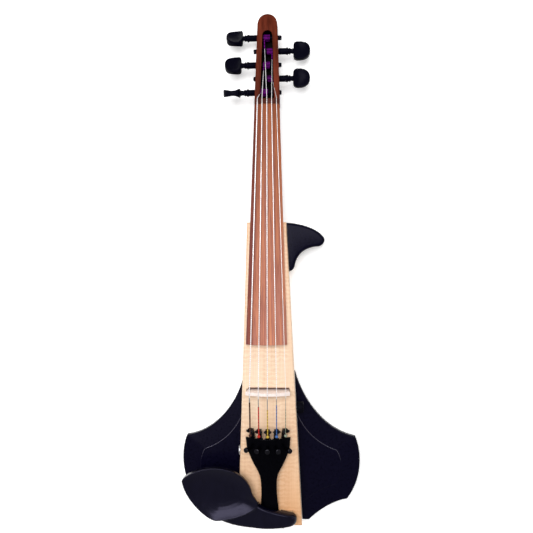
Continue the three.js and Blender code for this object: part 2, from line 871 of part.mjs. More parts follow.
function neckShaft() {
  const heelShares = [[0, 1], [0.12, 0.86], [0.3, 0.52], [0.55, 0.2], [1, 0]];
  const deep = top - neck.heelFoot;
  const sections = heelShares.map(([along, share]) => {
    const y = plank.topEnd + along * neck.heelLength;
    const narrow = Math.min(boardHalfAt(y), plank.topHalfWidth - plank.edgeRound);
    return neckSection(y, narrow, lerp(neck.heelDepth, deep, share));
  });
  sections.push(neckSection(nutBack, boardHalfAt(nutBack), neck.nutDepth));
  return loft(sections, "x", "z");
}

// The head: its outline from above meets its outline from the side
function headBlock() {
  const from = nutBack - nut.length;
  const tip = head.tipHalfWidth;
  const above = [[-headHalfAt(from), from], [-headHalfAt(headTip - tip), headTip - tip]];
  const steps = 8;
  for (let i = 1; i < steps; i++) {
    const angle = (i / steps) * Math.PI;
    above.push([-tip * Math.cos(angle), headTip - tip + tip * Math.sin(angle)]);
  }
  above.push([headHalfAt(headTip - tip), headTip - tip], [headHalfAt(from), from]);
  const chinEnd = nutBack + head.chin;
  const low = (y) => headTopAt(y) - headDepthAt(y);
  const beside = [
    [from, top],
    [nutBack, top],
    [nutBack, headTopAt(nutBack)],
    [headTip, headTopAt(headTip)],
    [headTip, lerp(headTopAt(headTip), low(headTip), 0.45)],
    [headTip - head.tipDepth * 0.16, lerp(headTopAt(headTip), low(headTip), 0.82)],
    [headTip - head.tipDepth * 0.5, low(headTip)],
    [chinEnd, low(chinEnd)],
    [lerp(from, chinEnd, 0.72), lerp(top - neck.nutDepth, low(chinEnd), 0.86)],
    [lerp(from, chinEnd, 0.35), lerp(top - neck.nutDepth, low(chinEnd), 0.35)],
    [from, top - neck.nutDepth],
  ];
  const wide = head.nutHalfWidth + fit.overrun;
  return meet(upright(above, 0, top + fit.overrun), acrossX(beside, -wide, wide));
}

// The slot that the pegs cross, rounded at the head's end, with a floor that follows the back
function pegSlot() {
  const start = nutBack + slot.start;
  const end = slotEnd;
  const round = slot.tipHalfWidth;
  const outline = [[-slot.nutHalfWidth, start], [-round, end - round]];
  const steps = 6;
  for (let i = 1; i < steps; i++) {
    const angle = (i / steps) * Math.PI;
    outline.push([-round * Math.cos(angle), end - round + round * Math.sin(angle)]);
  }
  outline.push([round, end - round], [slot.nutHalfWidth, start]);
  const floorAt = (y) => headTopAt(y) - headDepthAt(y) + slot.floor;
  const beside = [
    [start - fit.overrun, floorAt(start - fit.overrun)],
    [end + fit.overrun, floorAt(end + fit.overrun)],
    [end + fit.overrun, top + fit.overrun],
    [start - fit.overrun, top + fit.overrun],
  ];
  const wide = head.nutHalfWidth;
  return meet(upright(outline, 0, top + fit.overrun), acrossX(beside, -wide, wide));
}

// A peg's hole in both cheeks, tapered like the peg
function pegHole(index) {
  const { side } = pegOrder[index];
  const tip = head.nutHalfWidth + peg.tipStandOut;
  const reach = peg.ringAt;
  const profile = [
    [0, 0],
    [pegRadiusAt(side, -side * tip) + fit.running, 0],
    [pegRadiusAt(side, side * reach) + fit.running, tip + reach],
    [0, tip + reach],
  ];
  const direction = side > 0 ? alongPlusX : alongMinusX;
  return turned(profile, peg.sides, direction, point(-side * tip, pegAt(index), pegAxisAt(index)));
}

function addNeck() {
  const tenon = block(
    -neck.tenonHalfWidth, neck.tenonHalfWidth,
    plank.topEnd - neck.tenonLength, plank.topEnd + neck.heelLength / 2,
    top - neck.tenonDepth, top,
  );
  const heelCut = upright(plankOutline(fit.overrun, 0), -fit.overrun, top - neck.tenonDepth);
  const body = join(neckShaft(), headBlock(), tenon);
  const holes = pegOrder.map((_, index) => pegHole(index));
  add("neck", cut(body, heelCut, pegSlot(), ...holes), finishes.redwood);
}

// Each string's groove, wider than the string by the usual gap
function groove(index) {
  const { route, radii, radius } = stringRoute(index);
  const from = 6;
  const straight = route.slice(from, from + 4);
  const past = straight.at(-1).clone().add(point(0, nut.length, 0));
  const bigger = [...straight, past].map(() => radius + fit.gap);
  return tube([...straight, past], bigger, strings.sides + 2);
}

function addNut() {
  const section = (y) => {
    const half = boardHalfAt(nutFront);
    const points = [point(half, y, top), point(-half, y, top)];
    for (let i = 0; i <= board.arcSteps; i++) {
      const x = lerp(-half, half, i / board.arcSteps);
      points.push(point(x, y, nutTop + fit.gap - crownDrop(board.crown, x)));
    }
    return points;
  };
  const round = nut.round;
  const back = section(nutBack).map((p) => (p.z > top ? p.setZ(p.z - round) : p));
  const body = loft([section(nutFront), section(nutBack - round), back], "x", "z");
  add("nut", cut(body, ...strings.names.map((_, index) => groove(index))), finishes.redwood);
}

// The bridge: flared ends and an arched top, thinner at the top than at the base
function addBridge() {
  const foot = top - bridge.slotDepth;
  const arch = (x) => bridgeTop + bridge.grooveDepth - crownDrop(bridge.crown, x);
  const outline = [[-bridge.baseHalfWidth, foot], [bridge.baseHalfWidth, foot]];
  outline.push([bridge.baseHalfWidth, top + bridge.flareFrom]);
  for (let i = 0; i <= bridge.arcSteps; i++) {
    const x = lerp(bridge.topHalfWidth, -bridge.topHalfWidth, i / bridge.arcSteps);
    outline.push([x, arch(x)]);
  }
  outline.push([-bridge.baseHalfWidth, top + bridge.flareFrom]);
  const thick = bridge.baseThickness / 2;
  const thin = bridge.topThickness / 2;
  const high = bridgeTop + bridge.grooveDepth + fit.overrun;
  const side = [[-thick, foot], [thick, foot], [thick, top], [thin, high], [-thin, high], [-thick, top]];
  const wide = bridge.topHalfWidth + fit.overrun;
  const body = meet(
    alongY(outline, -bridge.baseThickness, bridge.baseThickness),
    acrossX(side, -wide, wide),
  );
  add("bridge", cut(body, ...strings.names.map((_, index) => groove(index))), finishes.bone);
  const strip = block(
    -bridge.baseHalfWidth, bridge.baseHalfWidth, -bridge.baseThickness / 2, bridge.baseThickness / 2,
    foot - bridge.stripThickness, foot,
  );
  add("bridge_pickup", strip, finishes.brass);
}

// The tailpiece's section at a share of its length: an arched shell, open below
const tailpieceAt = (share) => -tailpiece.front - share * tailpiece.length;
const tailpieceDrift = (share) => plank.tailShift * share;

function widthShareAt(share) {
  const rows = tailpieceWidthShares;
  const next = Math.max(1, rows.findIndex(([at]) => at >= share));
  const [from, before] = rows[next - 1];
  const [to, after] = rows[next];
  return lerp(before, after, (share - from) / (to - from));
}

function shellSection(share, wall) {
  const half = tailpiece.frontHalfWidth * widthShareAt(share);
  const crown = top + lerp(tailpiece.frontCrown, tailpiece.tailCrown, share);
  const radius = lerp(tailpiece.frontRadius, tailpiece.tailRadius, share);
  const y = tailpieceAt(share);
  const drift = tailpieceDrift(share);
  const outer = [];
  const inner = [];
  for (let i = 0; i <= tailpiece.arcSteps; i++) {
    const x = lerp(-half, half, i / tailpiece.arcSteps);
    outer.push(point(x + drift, y, crown - crownDrop(radius, x)));
    inner.push(point(x + drift, y, crown - wall - crownDrop(radius, x)));
  }
  return [...outer, ...inner.reverse()];
}

function tailpieceShell() {
  const sections = tailpieceWidthShares.map(([share]) => shellSection(share, tailpiece.wall));
  return loft(sections, "x", "z");
}

// A tuner's pieces are drawn at the arch's centre line, with Y along the string and Z outwards
const pivotAlong = -tuner.pivotBehind;
const pivotOut = archRadius - tuner.pivotBelow;

function tunerEars(index) {
  const inside = tuner.leverWidth / 2 + fit.running;
  const ears = [-1, 1].map((side) => {
    const a = side * inside;
    const b = side * (inside + tuner.earWidth);
    const reach = 2 * tuner.pivotRadius;
    return block(
      Math.min(a, b), Math.max(a, b), pivotAlong - reach, pivotAlong + reach - fit.gap,
      pivotOut - reach, archRadius - tailpiece.wall / 2,
    );
  });
  return ears.map((ear) => atTuner(index, ear));
}

function tunerHoles(index) {
  const wide = tuner.leverWidth / 2 + tuner.earWidth + fit.overrun;
  const pivot = rod(
    tuner.pivotRadius + fit.running, 2 * tuner.leverWidth, clamp.sides,
    alongPlusX, point(-tuner.leverWidth, pivotAlong, pivotOut),
  );
  const hole = rod(
    tuner.screwRadius + fit.running, wide, clamp.sides,
    alongPlusZ, point(0, -tuner.screwBehind, archRadius - wide / 2),
  );
  return [atTuner(index, pivot), atTuner(index, hole)];
}

function addTailpiece() {
  const share = 1 - tailpiece.webLength / tailpiece.length;
  const shares = [share, (1 + share) / 2, 1];
  const floor = top + tailpiece.webRoof;
  const sections = shares.map((at) => {
    const section = shellSection(at, tailpiece.wall / 2);
    const count = tailpiece.arcSteps + 1;
    return section.map((p, i) => (i < count ? p.setZ(p.z - tailpiece.wall / 4) : p.setZ(floor)));
  });
  const web = loft(sections, "x", "z");
  const gutHoles = [-1, 1].map((side) =>
    rod(
      tailgut.radius + fit.gap, 2 * tailpiece.webLength, tailgut.sides, alongMinusY,
      gutStart(side).add(point(0, tailpiece.webLength, 0)),
    ),
  );
  const ears = strings.names.flatMap((_, index) => tunerEars(index));
  const holes = strings.names.flatMap((_, index) => tunerHoles(index));
  const body = cut(join(tailpieceShell(), web, ...ears), ...holes, ...gutHoles);
  add("tailpiece", body, finishes.satinBlack);
}

// A tuner's lever: hook ahead of the tailpiece, pivot under its edge, arm below the screw
function leverBody() {
  const w = tuner.leverWidth / 2;
  const thick = tuner.armThickness;
  const hookEnd = tuner.hookAhead;
  const hookStart = hookEnd - tuner.hookLength;
  const low = pivotOut - tuner.pivotRadius;
  const arm = archRadius - tuner.armBelow;
  const forkFoot = pivotOut + thick;
  const armEnd = pivotAlong - tuner.armLength;
  const profile = [
    [armEnd, arm - thick],
    [pivotAlong - thick, arm - thick],
    [hookStart, low - thick / 2],
    [hookEnd, pivotOut + thick / 2],
    [hookEnd, forkFoot],
    [hookStart, forkFoot],
    [hookStart, low + thick],
    [pivotAlong + 2 * tuner.pivotRadius, low + thick],
    [pivotAlong, pivotOut + tuner.pivotRadius],
    [pivotAlong - 2 * tuner.pivotRadius, arm],
    [armEnd, arm],
  ];
  const plate = acrossX(profile, -w, w);
  const pin = rod(
    tuner.pivotRadius, tuner.leverWidth + 2 * tuner.earWidth, clamp.sides,
    alongPlusX, point(-w - tuner.earWidth, pivotAlong, pivotOut),
  );
  return join(plate, pin, ...[-1, 1].map((side) => forkProng(side, forkFoot - thick / 2)));
}

// One prong of a lever's fork: it rises beside the string, flares out and leans ahead
function forkProng(side, foot) {
  const crest = archRadius + tuner.hookTop;
  const lean = tuner.prongLean;
  const start = tuner.hookAhead - tuner.hookLength;
  const levels = [
    [foot, 0, 0, 0],
    [crest - tuner.armThickness, tuner.prongFlare / 2, lean, 0],
    [crest, tuner.prongFlare, 2 * lean, 2 * lean],
  ];
  const rings = levels.map(([z, flare, back, ahead]) => {
    const inner = side * (tuner.hookSlot / 2 + flare);
    const outer = side * (tuner.leverWidth / 2 + flare);
    return [
      point(inner, start + back, z), point(outer, start + back, z),
      point(outer, tuner.hookAhead - ahead, z), point(inner, tuner.hookAhead - ahead, z),
    ];
  });
  return loft(rings);
}

function screwBody() {
  const foot = archRadius - tuner.armBelow + fit.gap;
  const collar = archRadius + fit.gap;
  const base = collar + tuner.collarHeight;
  const stem = turned(
    [
      [0, foot], [tuner.screwRadius, foot], [tuner.screwRadius, collar],
      [tuner.collarRadius, collar], [tuner.collarRadius, base], [0, base],
    ],
    clamp.sides, alongPlusZ, point(0, -tuner.screwBehind, 0),
  );
  const rim = Array.from({ length: 2 * tuner.headSides }, (_, i) => {
    const radius = tuner.headRadius - (i % 2) * tuner.knurl;
    const angle = (i / tuner.headSides) * Math.PI;
    return [radius * Math.cos(angle), radius * Math.sin(angle) - tuner.screwBehind];
  });
  const shrunk = rim.map(([x, y]) => [x * 0.8, (y + tuner.screwBehind) * 0.8 - tuner.screwBehind]);
  const ringAt = (ring, z) => ring.map(([x, y]) => point(x, y, z));
  const rise = tuner.headHeight;
  const knurled = loft([
    ringAt(shrunk, base - tuner.knurl),
    ringAt(rim, base + rise * 0.14),
    ringAt(rim, base + rise * 0.84),
    ringAt(shrunk, base + rise),
  ]);
  return join(stem, knurled);
}

function addTuners() {
  strings.names.forEach((name, index) => {
    add("tuner_lever_" + name, atTuner(index, leverBody()), finishes.blackMetal);
    add("tuner_screw_" + name, atTuner(index, screwBody()), finishes.blackMetal);
  });
}

// The tailgut: out of the tailpiece's end, over the saddle and round the button
function gutStart(side) {
  const share = 1 - tailgut.inWeb / tailpiece.length;
  const z = top + lerp(tailpiece.webRoof, tailpiece.tailCrown, 0.42);
  return point(tailpieceDrift(share) + side * tailgut.halfSpacing, tailpieceAt(share), z);
}

function addTailgut() {
  const r = tailgut.radius;
  const x0 = plank.tailShift;
  const over = top + saddle.rise + r + fit.gap;
  const ends = -plank.tailEnd - saddle.lip;
  const groove = button.collarLength + button.grooveLength / 2;
  const grooveY = -plank.tailEnd - fit.gap - groove;
  const wrap = button.grooveRadius + r + fit.gap;
  const z = top - button.below;
  const limb = (side) => [
    gutStart(side),
    gutStart(side).add(point(0, -tailgut.inWeb - r, 0)),
    point(x0 + side * tailgut.halfSpacing, ends + 2 * saddle.lip + saddle.length / 2, over),
    point(x0 + side * tailgut.halfSpacing, ends, over - r / 2),
    point(x0 + side * tailgut.halfSpacing, ends - 2 * r, over - 3 * r),
    point(x0 + side * wrap, grooveY, z + wrap),
    point(x0 + side * wrap, grooveY, z),
  ];
  const steps = 5;
  const loop = Array.from({ length: steps - 1 }, (_, i) => {
    const angle = ((i + 1) / steps) * Math.PI;
    return point(x0 - wrap * Math.cos(angle), grooveY, z - wrap * Math.sin(angle));
  });
  const path = [...limb(-1), ...loop, ...limb(1).reverse()];
  add("tailgut", tube(path, path.map(() => r), tailgut.sides), finishes.darkPlastic);
}

function addButtonAndSaddle() {
  const at = point(plank.tailShift, -plank.tailEnd - fit.gap, top - button.below);
  const collar = button.collarLength;
  const grooveEnd = collar + button.grooveLength;
  const end = grooveEnd + button.headLength;
  const profile = [
    [0, -button.shankLength], [button.shankRadius, -button.shankLength], [button.shankRadius, 0],
    [button.collarRadius, 0], [button.collarRadius, collar], [button.grooveRadius, collar],
    [button.grooveRadius, grooveEnd], [button.headRadius, grooveEnd],
    [button.headRadius, lerp(grooveEnd, end, 0.5)],
    [button.headRadius * 0.8, lerp(grooveEnd, end, 0.88)],
    [button.headRadius * 0.4, end], [0, end],
  ];
  add("end_button", turned(profile, button.sides, alongMinusY, at), finishes.ebony);
  const back = -plank.tailEnd - saddle.lip;
  const high = top + saddle.rise;
  const front = -plank.tailEnd + saddle.length;
  const side = [
    [back, top - saddle.drop], [front, top - saddle.drop], [front, top],
    [front - saddle.round, high], [back + saddle.round, high], [back, high - saddle.round],
  ];
  const x0 = plank.tailShift;
  const body = acrossX(side, x0 - saddle.halfWidth, x0 + saddle.halfWidth);
  add("end_saddle", body, finishes.ebony);
}

// A rounded body over an outline: rings shrink to the middle, above and below
function pillow(outline, centre, shares, heightAbove, heightBelow) {
  const ringAt = (share, height) =>
    outline.map(([x, y]) => {
      const px = lerp(centre[0], x, share);
      const py = lerp(centre[1], y, share);
      return point(px, py, height(px, py, share));
    });
  const below = shares.map((share) => ringAt(share, heightBelow));
  const above = shares.slice(0, -1).reverse().map((share) => ringAt(share, heightAbove));
  return loft([...below, ...above]);
}

// The cup: a dished top with a rim that is highest at the outer end, and a keel-like back
function cupBody() {
  const [cx, cy] = chinrest.cupAt;
  const place = (x, y) => [cx + x * chinrest.cupHalfLength, cy + y * chinrest.cupHalfWidth];
  const outline = curvePoints(cupOutlineShares, outlineStepCounts, place).slice(0, -1);
  const shares = [0.12, 0.45, 0.75, cupRimShare, 0.97, 1];
  const pastRim = (share) => Math.max((share - cupRimShare) / (1 - cupRimShare), 0) ** 2;
  const rimAt = (x) =>
    top + chinrest.cupRim - (chinrest.cupOuterRise * (x - cx)) / (2 * chinrest.cupHalfLength);
  const above = (x, y, share) => {
    const rounding = chinrest.rimRound * pastRim(share);
    const dip = share < cupRimShare ? 1 - (share / cupRimShare) ** 2 : 0;
    return rimAt(x) - chinrest.dish * dip - rounding;
  };
  const below = (x, y, share) => {
    const base = lerp(top + chinrest.cupKeel, top + chinrest.cupFloor, share ** 2);
    return base + chinrest.backRound * pastRim(share);
  };
  return pillow(outline, chinrest.cupAt, shares, above, below);
}

function armBody() {
  const [cx, cy] = chinrest.armAt;
  const place = (x, y) => [cx + x * chinrest.armHalfLength, cy + y * chinrest.armHalfWidth];
  const outline = curvePoints(armOutlineShares, outlineStepCounts, place).slice(0, -1);
  const shares = [0.1, 0.45, 0.72, 0.88, 0.97, 1];
  const above = (x, y, share) =>
    top + lerp(chinrest.armEdge, chinrest.armTop, Math.sqrt(1 - share ** 3));
  const below = (x, y, share) => top + chinrest.foot + (share > 0.97 ? chinrest.footRound : 0);
  return pillow(outline, chinrest.armAt, shares, above, below);
}

function addChinrest() {
  const half = chinrest.tunnelHalfWidth;
  const mid = chinrest.tunnelShift;
  const roof = top + chinrest.tunnelRoof;
  const low = top;
  const arch = [[mid - half, low - fit.overrun], [mid - half, lerp(low, roof, 0.55)]];
  arch.push([mid - half * 0.7, lerp(low, roof, 0.9)], [mid, roof]);
  arch.push([mid + half * 0.7, lerp(low, roof, 0.9)], [mid + half, lerp(low, roof, 0.55)]);
  arch.push([mid + half, low - fit.overrun]);
  const tunnel = alongY(arch, -plank.tailEnd - 4 * fit.overrun, chinrest.cupAt[1]);
  const body = cut(join(cupBody(), armBody()), tunnel);
  add("chinrest", body, finishes.ebony);
  [-1, 1].forEach((side) => {
    const x = mid + side * (half + pad.halfWidth);
    const cork = block(
      x - pad.halfWidth, x + pad.halfWidth, -pad.at - pad.length / 2, -pad.at + pad.length / 2,
      top, top + chinrest.foot,
    );
    add(side < 0 ? "chinrest_pad_bass" : "chinrest_pad_treble", cork, finishes.cork);
  });
}

// The clamp: lugs under the arm, turnbuckles beside the end button, a foot under the tail
const clampX = (side) => plank.tailShift + side * clamp.halfSpacing;
const clampY = -plank.tailEnd - clamp.standOff - clamp.barrelRadius;

function addClamp() {
  const foot = fit.gap;
  const plateTop = foot + clamp.footThickness;
  const r = clamp.postRadius;
  const lugTop = top + chinrest.foot;
  [-1, 1].forEach((side) => {
    const end = side < 0 ? "bass" : "treble";
    const x = clampX(side);
    const thick = clamp.lugThickness;
    const inside = -plank.tailEnd + clamp.lugInside;
    const face = -plank.tailEnd - fit.gap;
    const tab = clamp.barrelBack + clamp.barrelLength + clamp.tabAbove;
    const tabEnd = clampY - r - clamp.tabLip;
    const bent = [
      [inside, lugTop - thick], [face, lugTop - thick], [face, tab], [tabEnd, tab],
      [tabEnd, tab + thick], [face - thick, tab + thick], [face - thick, lugTop], [inside, lugTop],
    ];
    const lug = join(
      acrossX(bent, x - clamp.lugHalfWidth, x + clamp.lugHalfWidth),
      rod(r, clamp.upperPost, clamp.sides, point(0, 0, -1), point(x, clampY, tab + thick / 2)),
    );
    add("clamp_lug_" + end, lug, finishes.blackMetal);
    const barrel = cut(
      rod(clamp.barrelRadius, clamp.barrelLength, clamp.sides, alongPlusZ, point(x, clampY, clamp.barrelBack)),
      rod(
        r + fit.running, clamp.barrelLength + 2 * fit.overrun, clamp.sides,
        alongPlusZ, point(x, clampY, clamp.barrelBack - fit.overrun),
      ),
      rod(r / 2, 2 * fit.overrun, clamp.sides, alongPlusX, point(x - fit.overrun, clampY, top / 2)),
    );
    add("clamp_barrel_" + end, barrel, finishes.blackMetal);
  });
  const x0 = plank.tailShift;
  const half = clamp.footHalfWidth;
  const inner = -plank.tailEnd + clamp.footLength;
  const outer = clampY - clamp.lugHalfWidth;
  const corner = clamp.lugHalfWidth;
  const plan = [
    [x0 - half, inner], [x0 - half, outer + corner], [x0 - half + corner, outer],
    [x0 + half - corner, outer], [x0 + half, outer + corner], [x0 + half, inner],
  ];
  const posts = [-1, 1].map((side) =>
    rod(r, clamp.lowerPost + clamp.footThickness, clamp.sides, alongPlusZ, point(clampX(side), clampY, foot + r)),
  );
  add("clamp_foot", join(upright(plan, foot, plateTop), ...posts), finishes.blackMetal);
  const cork = block(
    x0 - half, x0 + half, -plank.tailEnd + fit.gap, inner, plateTop, plateTop + clamp.padThickness,
  );
  add("clamp_foot_pad", cork, finishes.cork);
}

// A peg: tapered shaft, collar ring, waist and a dished thumb piece turned to its own angle
function addPeg(index) {
  const { string, side, turn } = pegOrder[index];
  const tip = head.nutHalfWidth + peg.tipStandOut;
  const ringOut = peg.ringAt + peg.ringWidth;
  const thumbIn = peg.reach - peg.thumbLength;
  const profile = [
    [0, -tip],
    [peg.tipRadius * 0.8, -tip],
    [peg.tipRadius, -tip + peg.tipRadius * 0.3],
    [peg.collarRadius, peg.ringAt],
    [peg.ringRadius, peg.ringAt + peg.ringWidth * 0.2],
    [peg.ringRadius, ringOut - peg.ringWidth * 0.2],
    [peg.waistRadius, ringOut],
    [peg.waistRadius * 1.15, thumbIn],
    [peg.waistRadius, thumbIn + peg.thumbLength * 0.3],
    [0, thumbIn + peg.thumbLength * 0.3],
  ];
  const shaft = turned(profile, peg.sides, point(0, 1, 0), point(0, 0, 0));
  const thumb = thumbPiece(thumbIn).rotateY(THREE.MathUtils.degToRad(turn));
  const body = join(shaft, thumb).rotateZ((-side * Math.PI) / 2);
  body.translate(0, pegAt(index), pegAxisAt(index));
  add("peg_" + string, body, finishes.ebony);
}

// The thumb piece stands along Y, wide in X, thin in Z, and is dished on both faces
function thumbPiece(from) {
  const outlineShares = [
    [[0.16, 0], [0.52, -0.02], [0.96, 0.12], [1, 0.46]],
    [[1, 0.46], [1.02, 0.8], [0.55, 0.985], [0, 1]],
  ];
  const place = (x, y) => [x * peg.thumbRadius, from + y * peg.thumbLength];
  const right = curvePoints(outlineShares, [6, 6], place);
  const left = right.slice(0, -1).reverse().map(([x, y]) => [-x, y]);
  const outline = [...right, ...left];
  const half = peg.thumbThickness / 2;
  const thin = peg.thumbOuterThickness / 2;
  const slab = upright(outline, -half, half);
  const far = from + peg.thumbLength;
  const wedge = acrossX(
    [[from, -half], [far, -thin], [far, thin], [from, half]],
    -peg.thumbRadius * 1.2, peg.thumbRadius * 1.2,
  );
  const ball = (sign) => {
    const geometry = new THREE.SphereGeometry(peg.dishRadius, 20, 12);
    const middleY = from + peg.thumbLength * 0.56;
    const depth = half * 0.36;
    return geometry.rotateX(Math.PI / 2).translate(0, middleY, sign * (half + peg.dishRadius - depth));
  };
  return cut(meet(slab, wedge), ball(1), ball(-1));
}

function addStrings() {
  strings.names.forEach((name, index) => {
    const { route, radii, radius, onCoil } = stringRoute(index);
    console.log("string", name, "coil's least gap to itself", coilGap(onCoil, radius).toFixed(2));
    add("string_" + name, tube(route, radii, strings.sides - 1), finishes.wire);
  });
}

// The volume pot inside the treble wall and its fluted knob outside
function addVolume() {
  const wall = wallAt(1, -knob.at);
  const axis = point(0, -knob.at, top - knob.below);
  const inner = cavity.trebleHalfWidth - fit.gap;
  const profile = [
    [0, inner - pot.bodyLength], [pot.bodyRadius, inner - pot.bodyLength], [pot.bodyRadius, inner],
    [pot.bushRadius, inner], [pot.bushRadius, wall - fit.gap], [pot.shaftRadius, wall - fit.gap],
    [pot.shaftRadius, wall + pot.shaftStandOut], [0, wall + pot.shaftStandOut],
  ];
  add("volume_pot", turned(profile, pot.sides, alongPlusX, axis), finishes.blackMetal);
  const start = wall + knob.skirt;
  const rim = (radius) =>
    Array.from({ length: 2 * knob.flutes }, (_, i) => {
      const r = radius - (i % 2) * knob.fluteDepth;
      const angle = (i / knob.flutes) * Math.PI;
      return [r * Math.cos(angle), r * Math.sin(angle)];
    });
  const ringAt = (ring, x) => ring.map(([y, z]) => point(x, axis.y + y, axis.z + z));
  const rings = [
    ringAt(rim(knob.radius), start),
    ringAt(rim(knob.radius), start + knob.height - knob.chamfer),
    ringAt(rim(knob.radius - knob.chamfer), start + knob.height),
  ];
  const bore = rod(
    knob.bore, knob.boreDepth + fit.overrun, pot.sides, alongPlusX,
    point(start - fit.overrun, axis.y, axis.z),
  );
  add("volume_knob", cut(loft(rings, "y", "z"), bore), finishes.darkPlastic);
}

// The jack: a tube through the bass wall with a ring outside and the plug's bore
function addJack() {
  const wall = -wallAt(-1, -jack.at);
  const at = point(0, -jack.at, top - jack.below);
  const face = wall + jack.ringStandOut;
  const tail = face - jack.length;
  const profile = [
    [0, tail], [jack.tubeRadius, tail], [jack.tubeRadius, wall + fit.gap],
    [jack.ringRadius, wall + fit.gap], [jack.ringRadius, face - fit.gap],
    [jack.ringRadius - fit.gap, face], [jack.bore, face],
    [jack.bore, face - jack.boreDepth], [0, face - jack.boreDepth],
  ];
  add("output_jack", turned(profile, jack.sides, alongMinusX, at), finishes.steel);
}

// Two leads inside: pickup to pot, and pot to jack
function addLeads() {
  const roof = top - cavity.roof - lead.radius - fit.gap;
  const pickupEnd = top - bridge.slotDepth - bridge.stripThickness - fit.gap;
  const potBack = cavity.trebleHalfWidth - fit.gap - pot.bodyLength - fit.gap;
  const potZ = top - knob.below;
  const jackTail = wallAt(-1, -jack.at) - jack.ringStandOut + jack.length + fit.gap;
  const jackZ = top - jack.below;
  const bend = 2 * lead.radius;
  const first = [
    point(leadX, leadY, pickupEnd),
    point(leadX, leadY, roof + lead.radius / 2),
    point(leadX, leadY - bend, roof),
    point(leadX, -cavity.front - bend, roof),
    point(potBack - 3 * bend, -knob.at + bend, roof),
    point(potBack - bend, -knob.at, potZ + bend / 2),
    point(potBack, -knob.at, potZ + bend / 2),
  ];
  const second = [
    point(potBack, -knob.at, potZ - 2 * bend),
    point(potBack - bend, -knob.at, potZ - 2 * bend),
    point(jackTail + 2 * bend, lerp(-knob.at, -jack.at, 0.7), jackZ - bend),
    point(jackTail + bend, -jack.at, jackZ),
    point(jackTail, -jack.at, jackZ),
  ];
  const tubeOf = (path) => tube(path, path.map(() => lead.radius), lead.sides);
  add("pickup_lead", tubeOf(first), finishes.darkPlastic);
  add("jack_lead", tubeOf(second), finishes.darkPlastic);
}

addPlank();
addWing("wing_bass", -1);
addWing("wing_treble", 1);
addHorn();
addNeck();
addBoard();
addNut();
addBridge();
addTailpiece();
addTuners();
addTailgut();
addButtonAndSaddle();
addChinrest();
addClamp();
pegOrder.forEach((_, index) => addPeg(index));
addStrings();
addVolume();
addJack();
addCover();
addLeads();

export default group;
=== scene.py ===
"""The look of a five-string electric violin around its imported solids.

It lies on its back. Sizes in this script are millimetres unless a name says otherwise, and
the meshes and the finishes' masks are in metres.
"""

from __future__ import annotations

import json
import logging
import math
from bisect import bisect_left
from dataclasses import dataclass, field
from enum import Enum
from typing import Callable, ClassVar, Sequence

import bmesh
import bpy
from mathutils import Matrix, Vector

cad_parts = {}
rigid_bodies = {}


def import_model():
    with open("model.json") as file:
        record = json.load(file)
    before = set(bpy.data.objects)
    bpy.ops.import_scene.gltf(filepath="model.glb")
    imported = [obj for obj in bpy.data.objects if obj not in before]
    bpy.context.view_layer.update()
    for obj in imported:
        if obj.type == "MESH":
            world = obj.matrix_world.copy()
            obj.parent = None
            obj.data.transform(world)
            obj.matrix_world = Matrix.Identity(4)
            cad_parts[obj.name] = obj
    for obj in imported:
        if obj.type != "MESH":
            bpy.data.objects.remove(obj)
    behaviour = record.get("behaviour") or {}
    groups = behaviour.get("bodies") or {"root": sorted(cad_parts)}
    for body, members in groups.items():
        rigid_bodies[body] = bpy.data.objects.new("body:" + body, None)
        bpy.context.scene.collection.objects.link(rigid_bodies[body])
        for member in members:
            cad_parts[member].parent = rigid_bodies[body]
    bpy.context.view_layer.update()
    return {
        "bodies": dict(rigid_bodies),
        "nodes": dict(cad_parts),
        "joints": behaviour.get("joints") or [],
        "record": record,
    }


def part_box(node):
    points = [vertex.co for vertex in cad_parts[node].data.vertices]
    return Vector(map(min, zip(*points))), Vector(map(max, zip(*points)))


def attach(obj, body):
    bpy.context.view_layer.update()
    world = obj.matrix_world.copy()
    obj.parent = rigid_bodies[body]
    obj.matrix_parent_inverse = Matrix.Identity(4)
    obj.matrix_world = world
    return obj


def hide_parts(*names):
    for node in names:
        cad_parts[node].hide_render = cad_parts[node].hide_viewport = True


LOG = logging.getLogger("violin")
MM = 0.001
TOP = 35.0
X_AXIS, Y_AXIS, Z_AXIS = (1.0, 0.0, 0.0), (0.0, 1.0, 0.0), (0.0, 0.0, 1.0)
WHITE = (1.0, 1.0, 1.0)
SPLIT_SPARE_DEG = 6.0
WELD_REACH = 0.00001

Pair = tuple[float, float]
Triple = tuple[float, float, float]
Curve = tuple[Pair, Pair, Pair, Pair]
Ring = list[Vector]
Skin = tuple[list[Vector], list[list[int]]]
Stops = tuple[tuple[float, Triple], ...]
Wall = tuple[Triple, float, float]
Socket = bpy.types.NodeSocket


class Slot(Enum):
    """The record's material slots, one named for each new piece."""

    LACQUER = "satin_black_lacquer"
    TAILPIECE = "tailpiece_black"
    EBONY = "ebony"
    BLACK_METAL = "black_metal"
    WIRE = "string_wire"
    PLASTIC = "black_plastic"


@dataclass(frozen=True)
class StringRow:
    """What differs from string to string, from the bass side on."""

    name: str
    radius: float
    silk: str
    silk_end: float
    screw_raise: float


@dataclass(frozen=True)
class PegRow:
    """What differs from peg to peg, from the nut on."""

    string: str
    side: int
    turn_deg: float
    reach: float
    coil_at: float


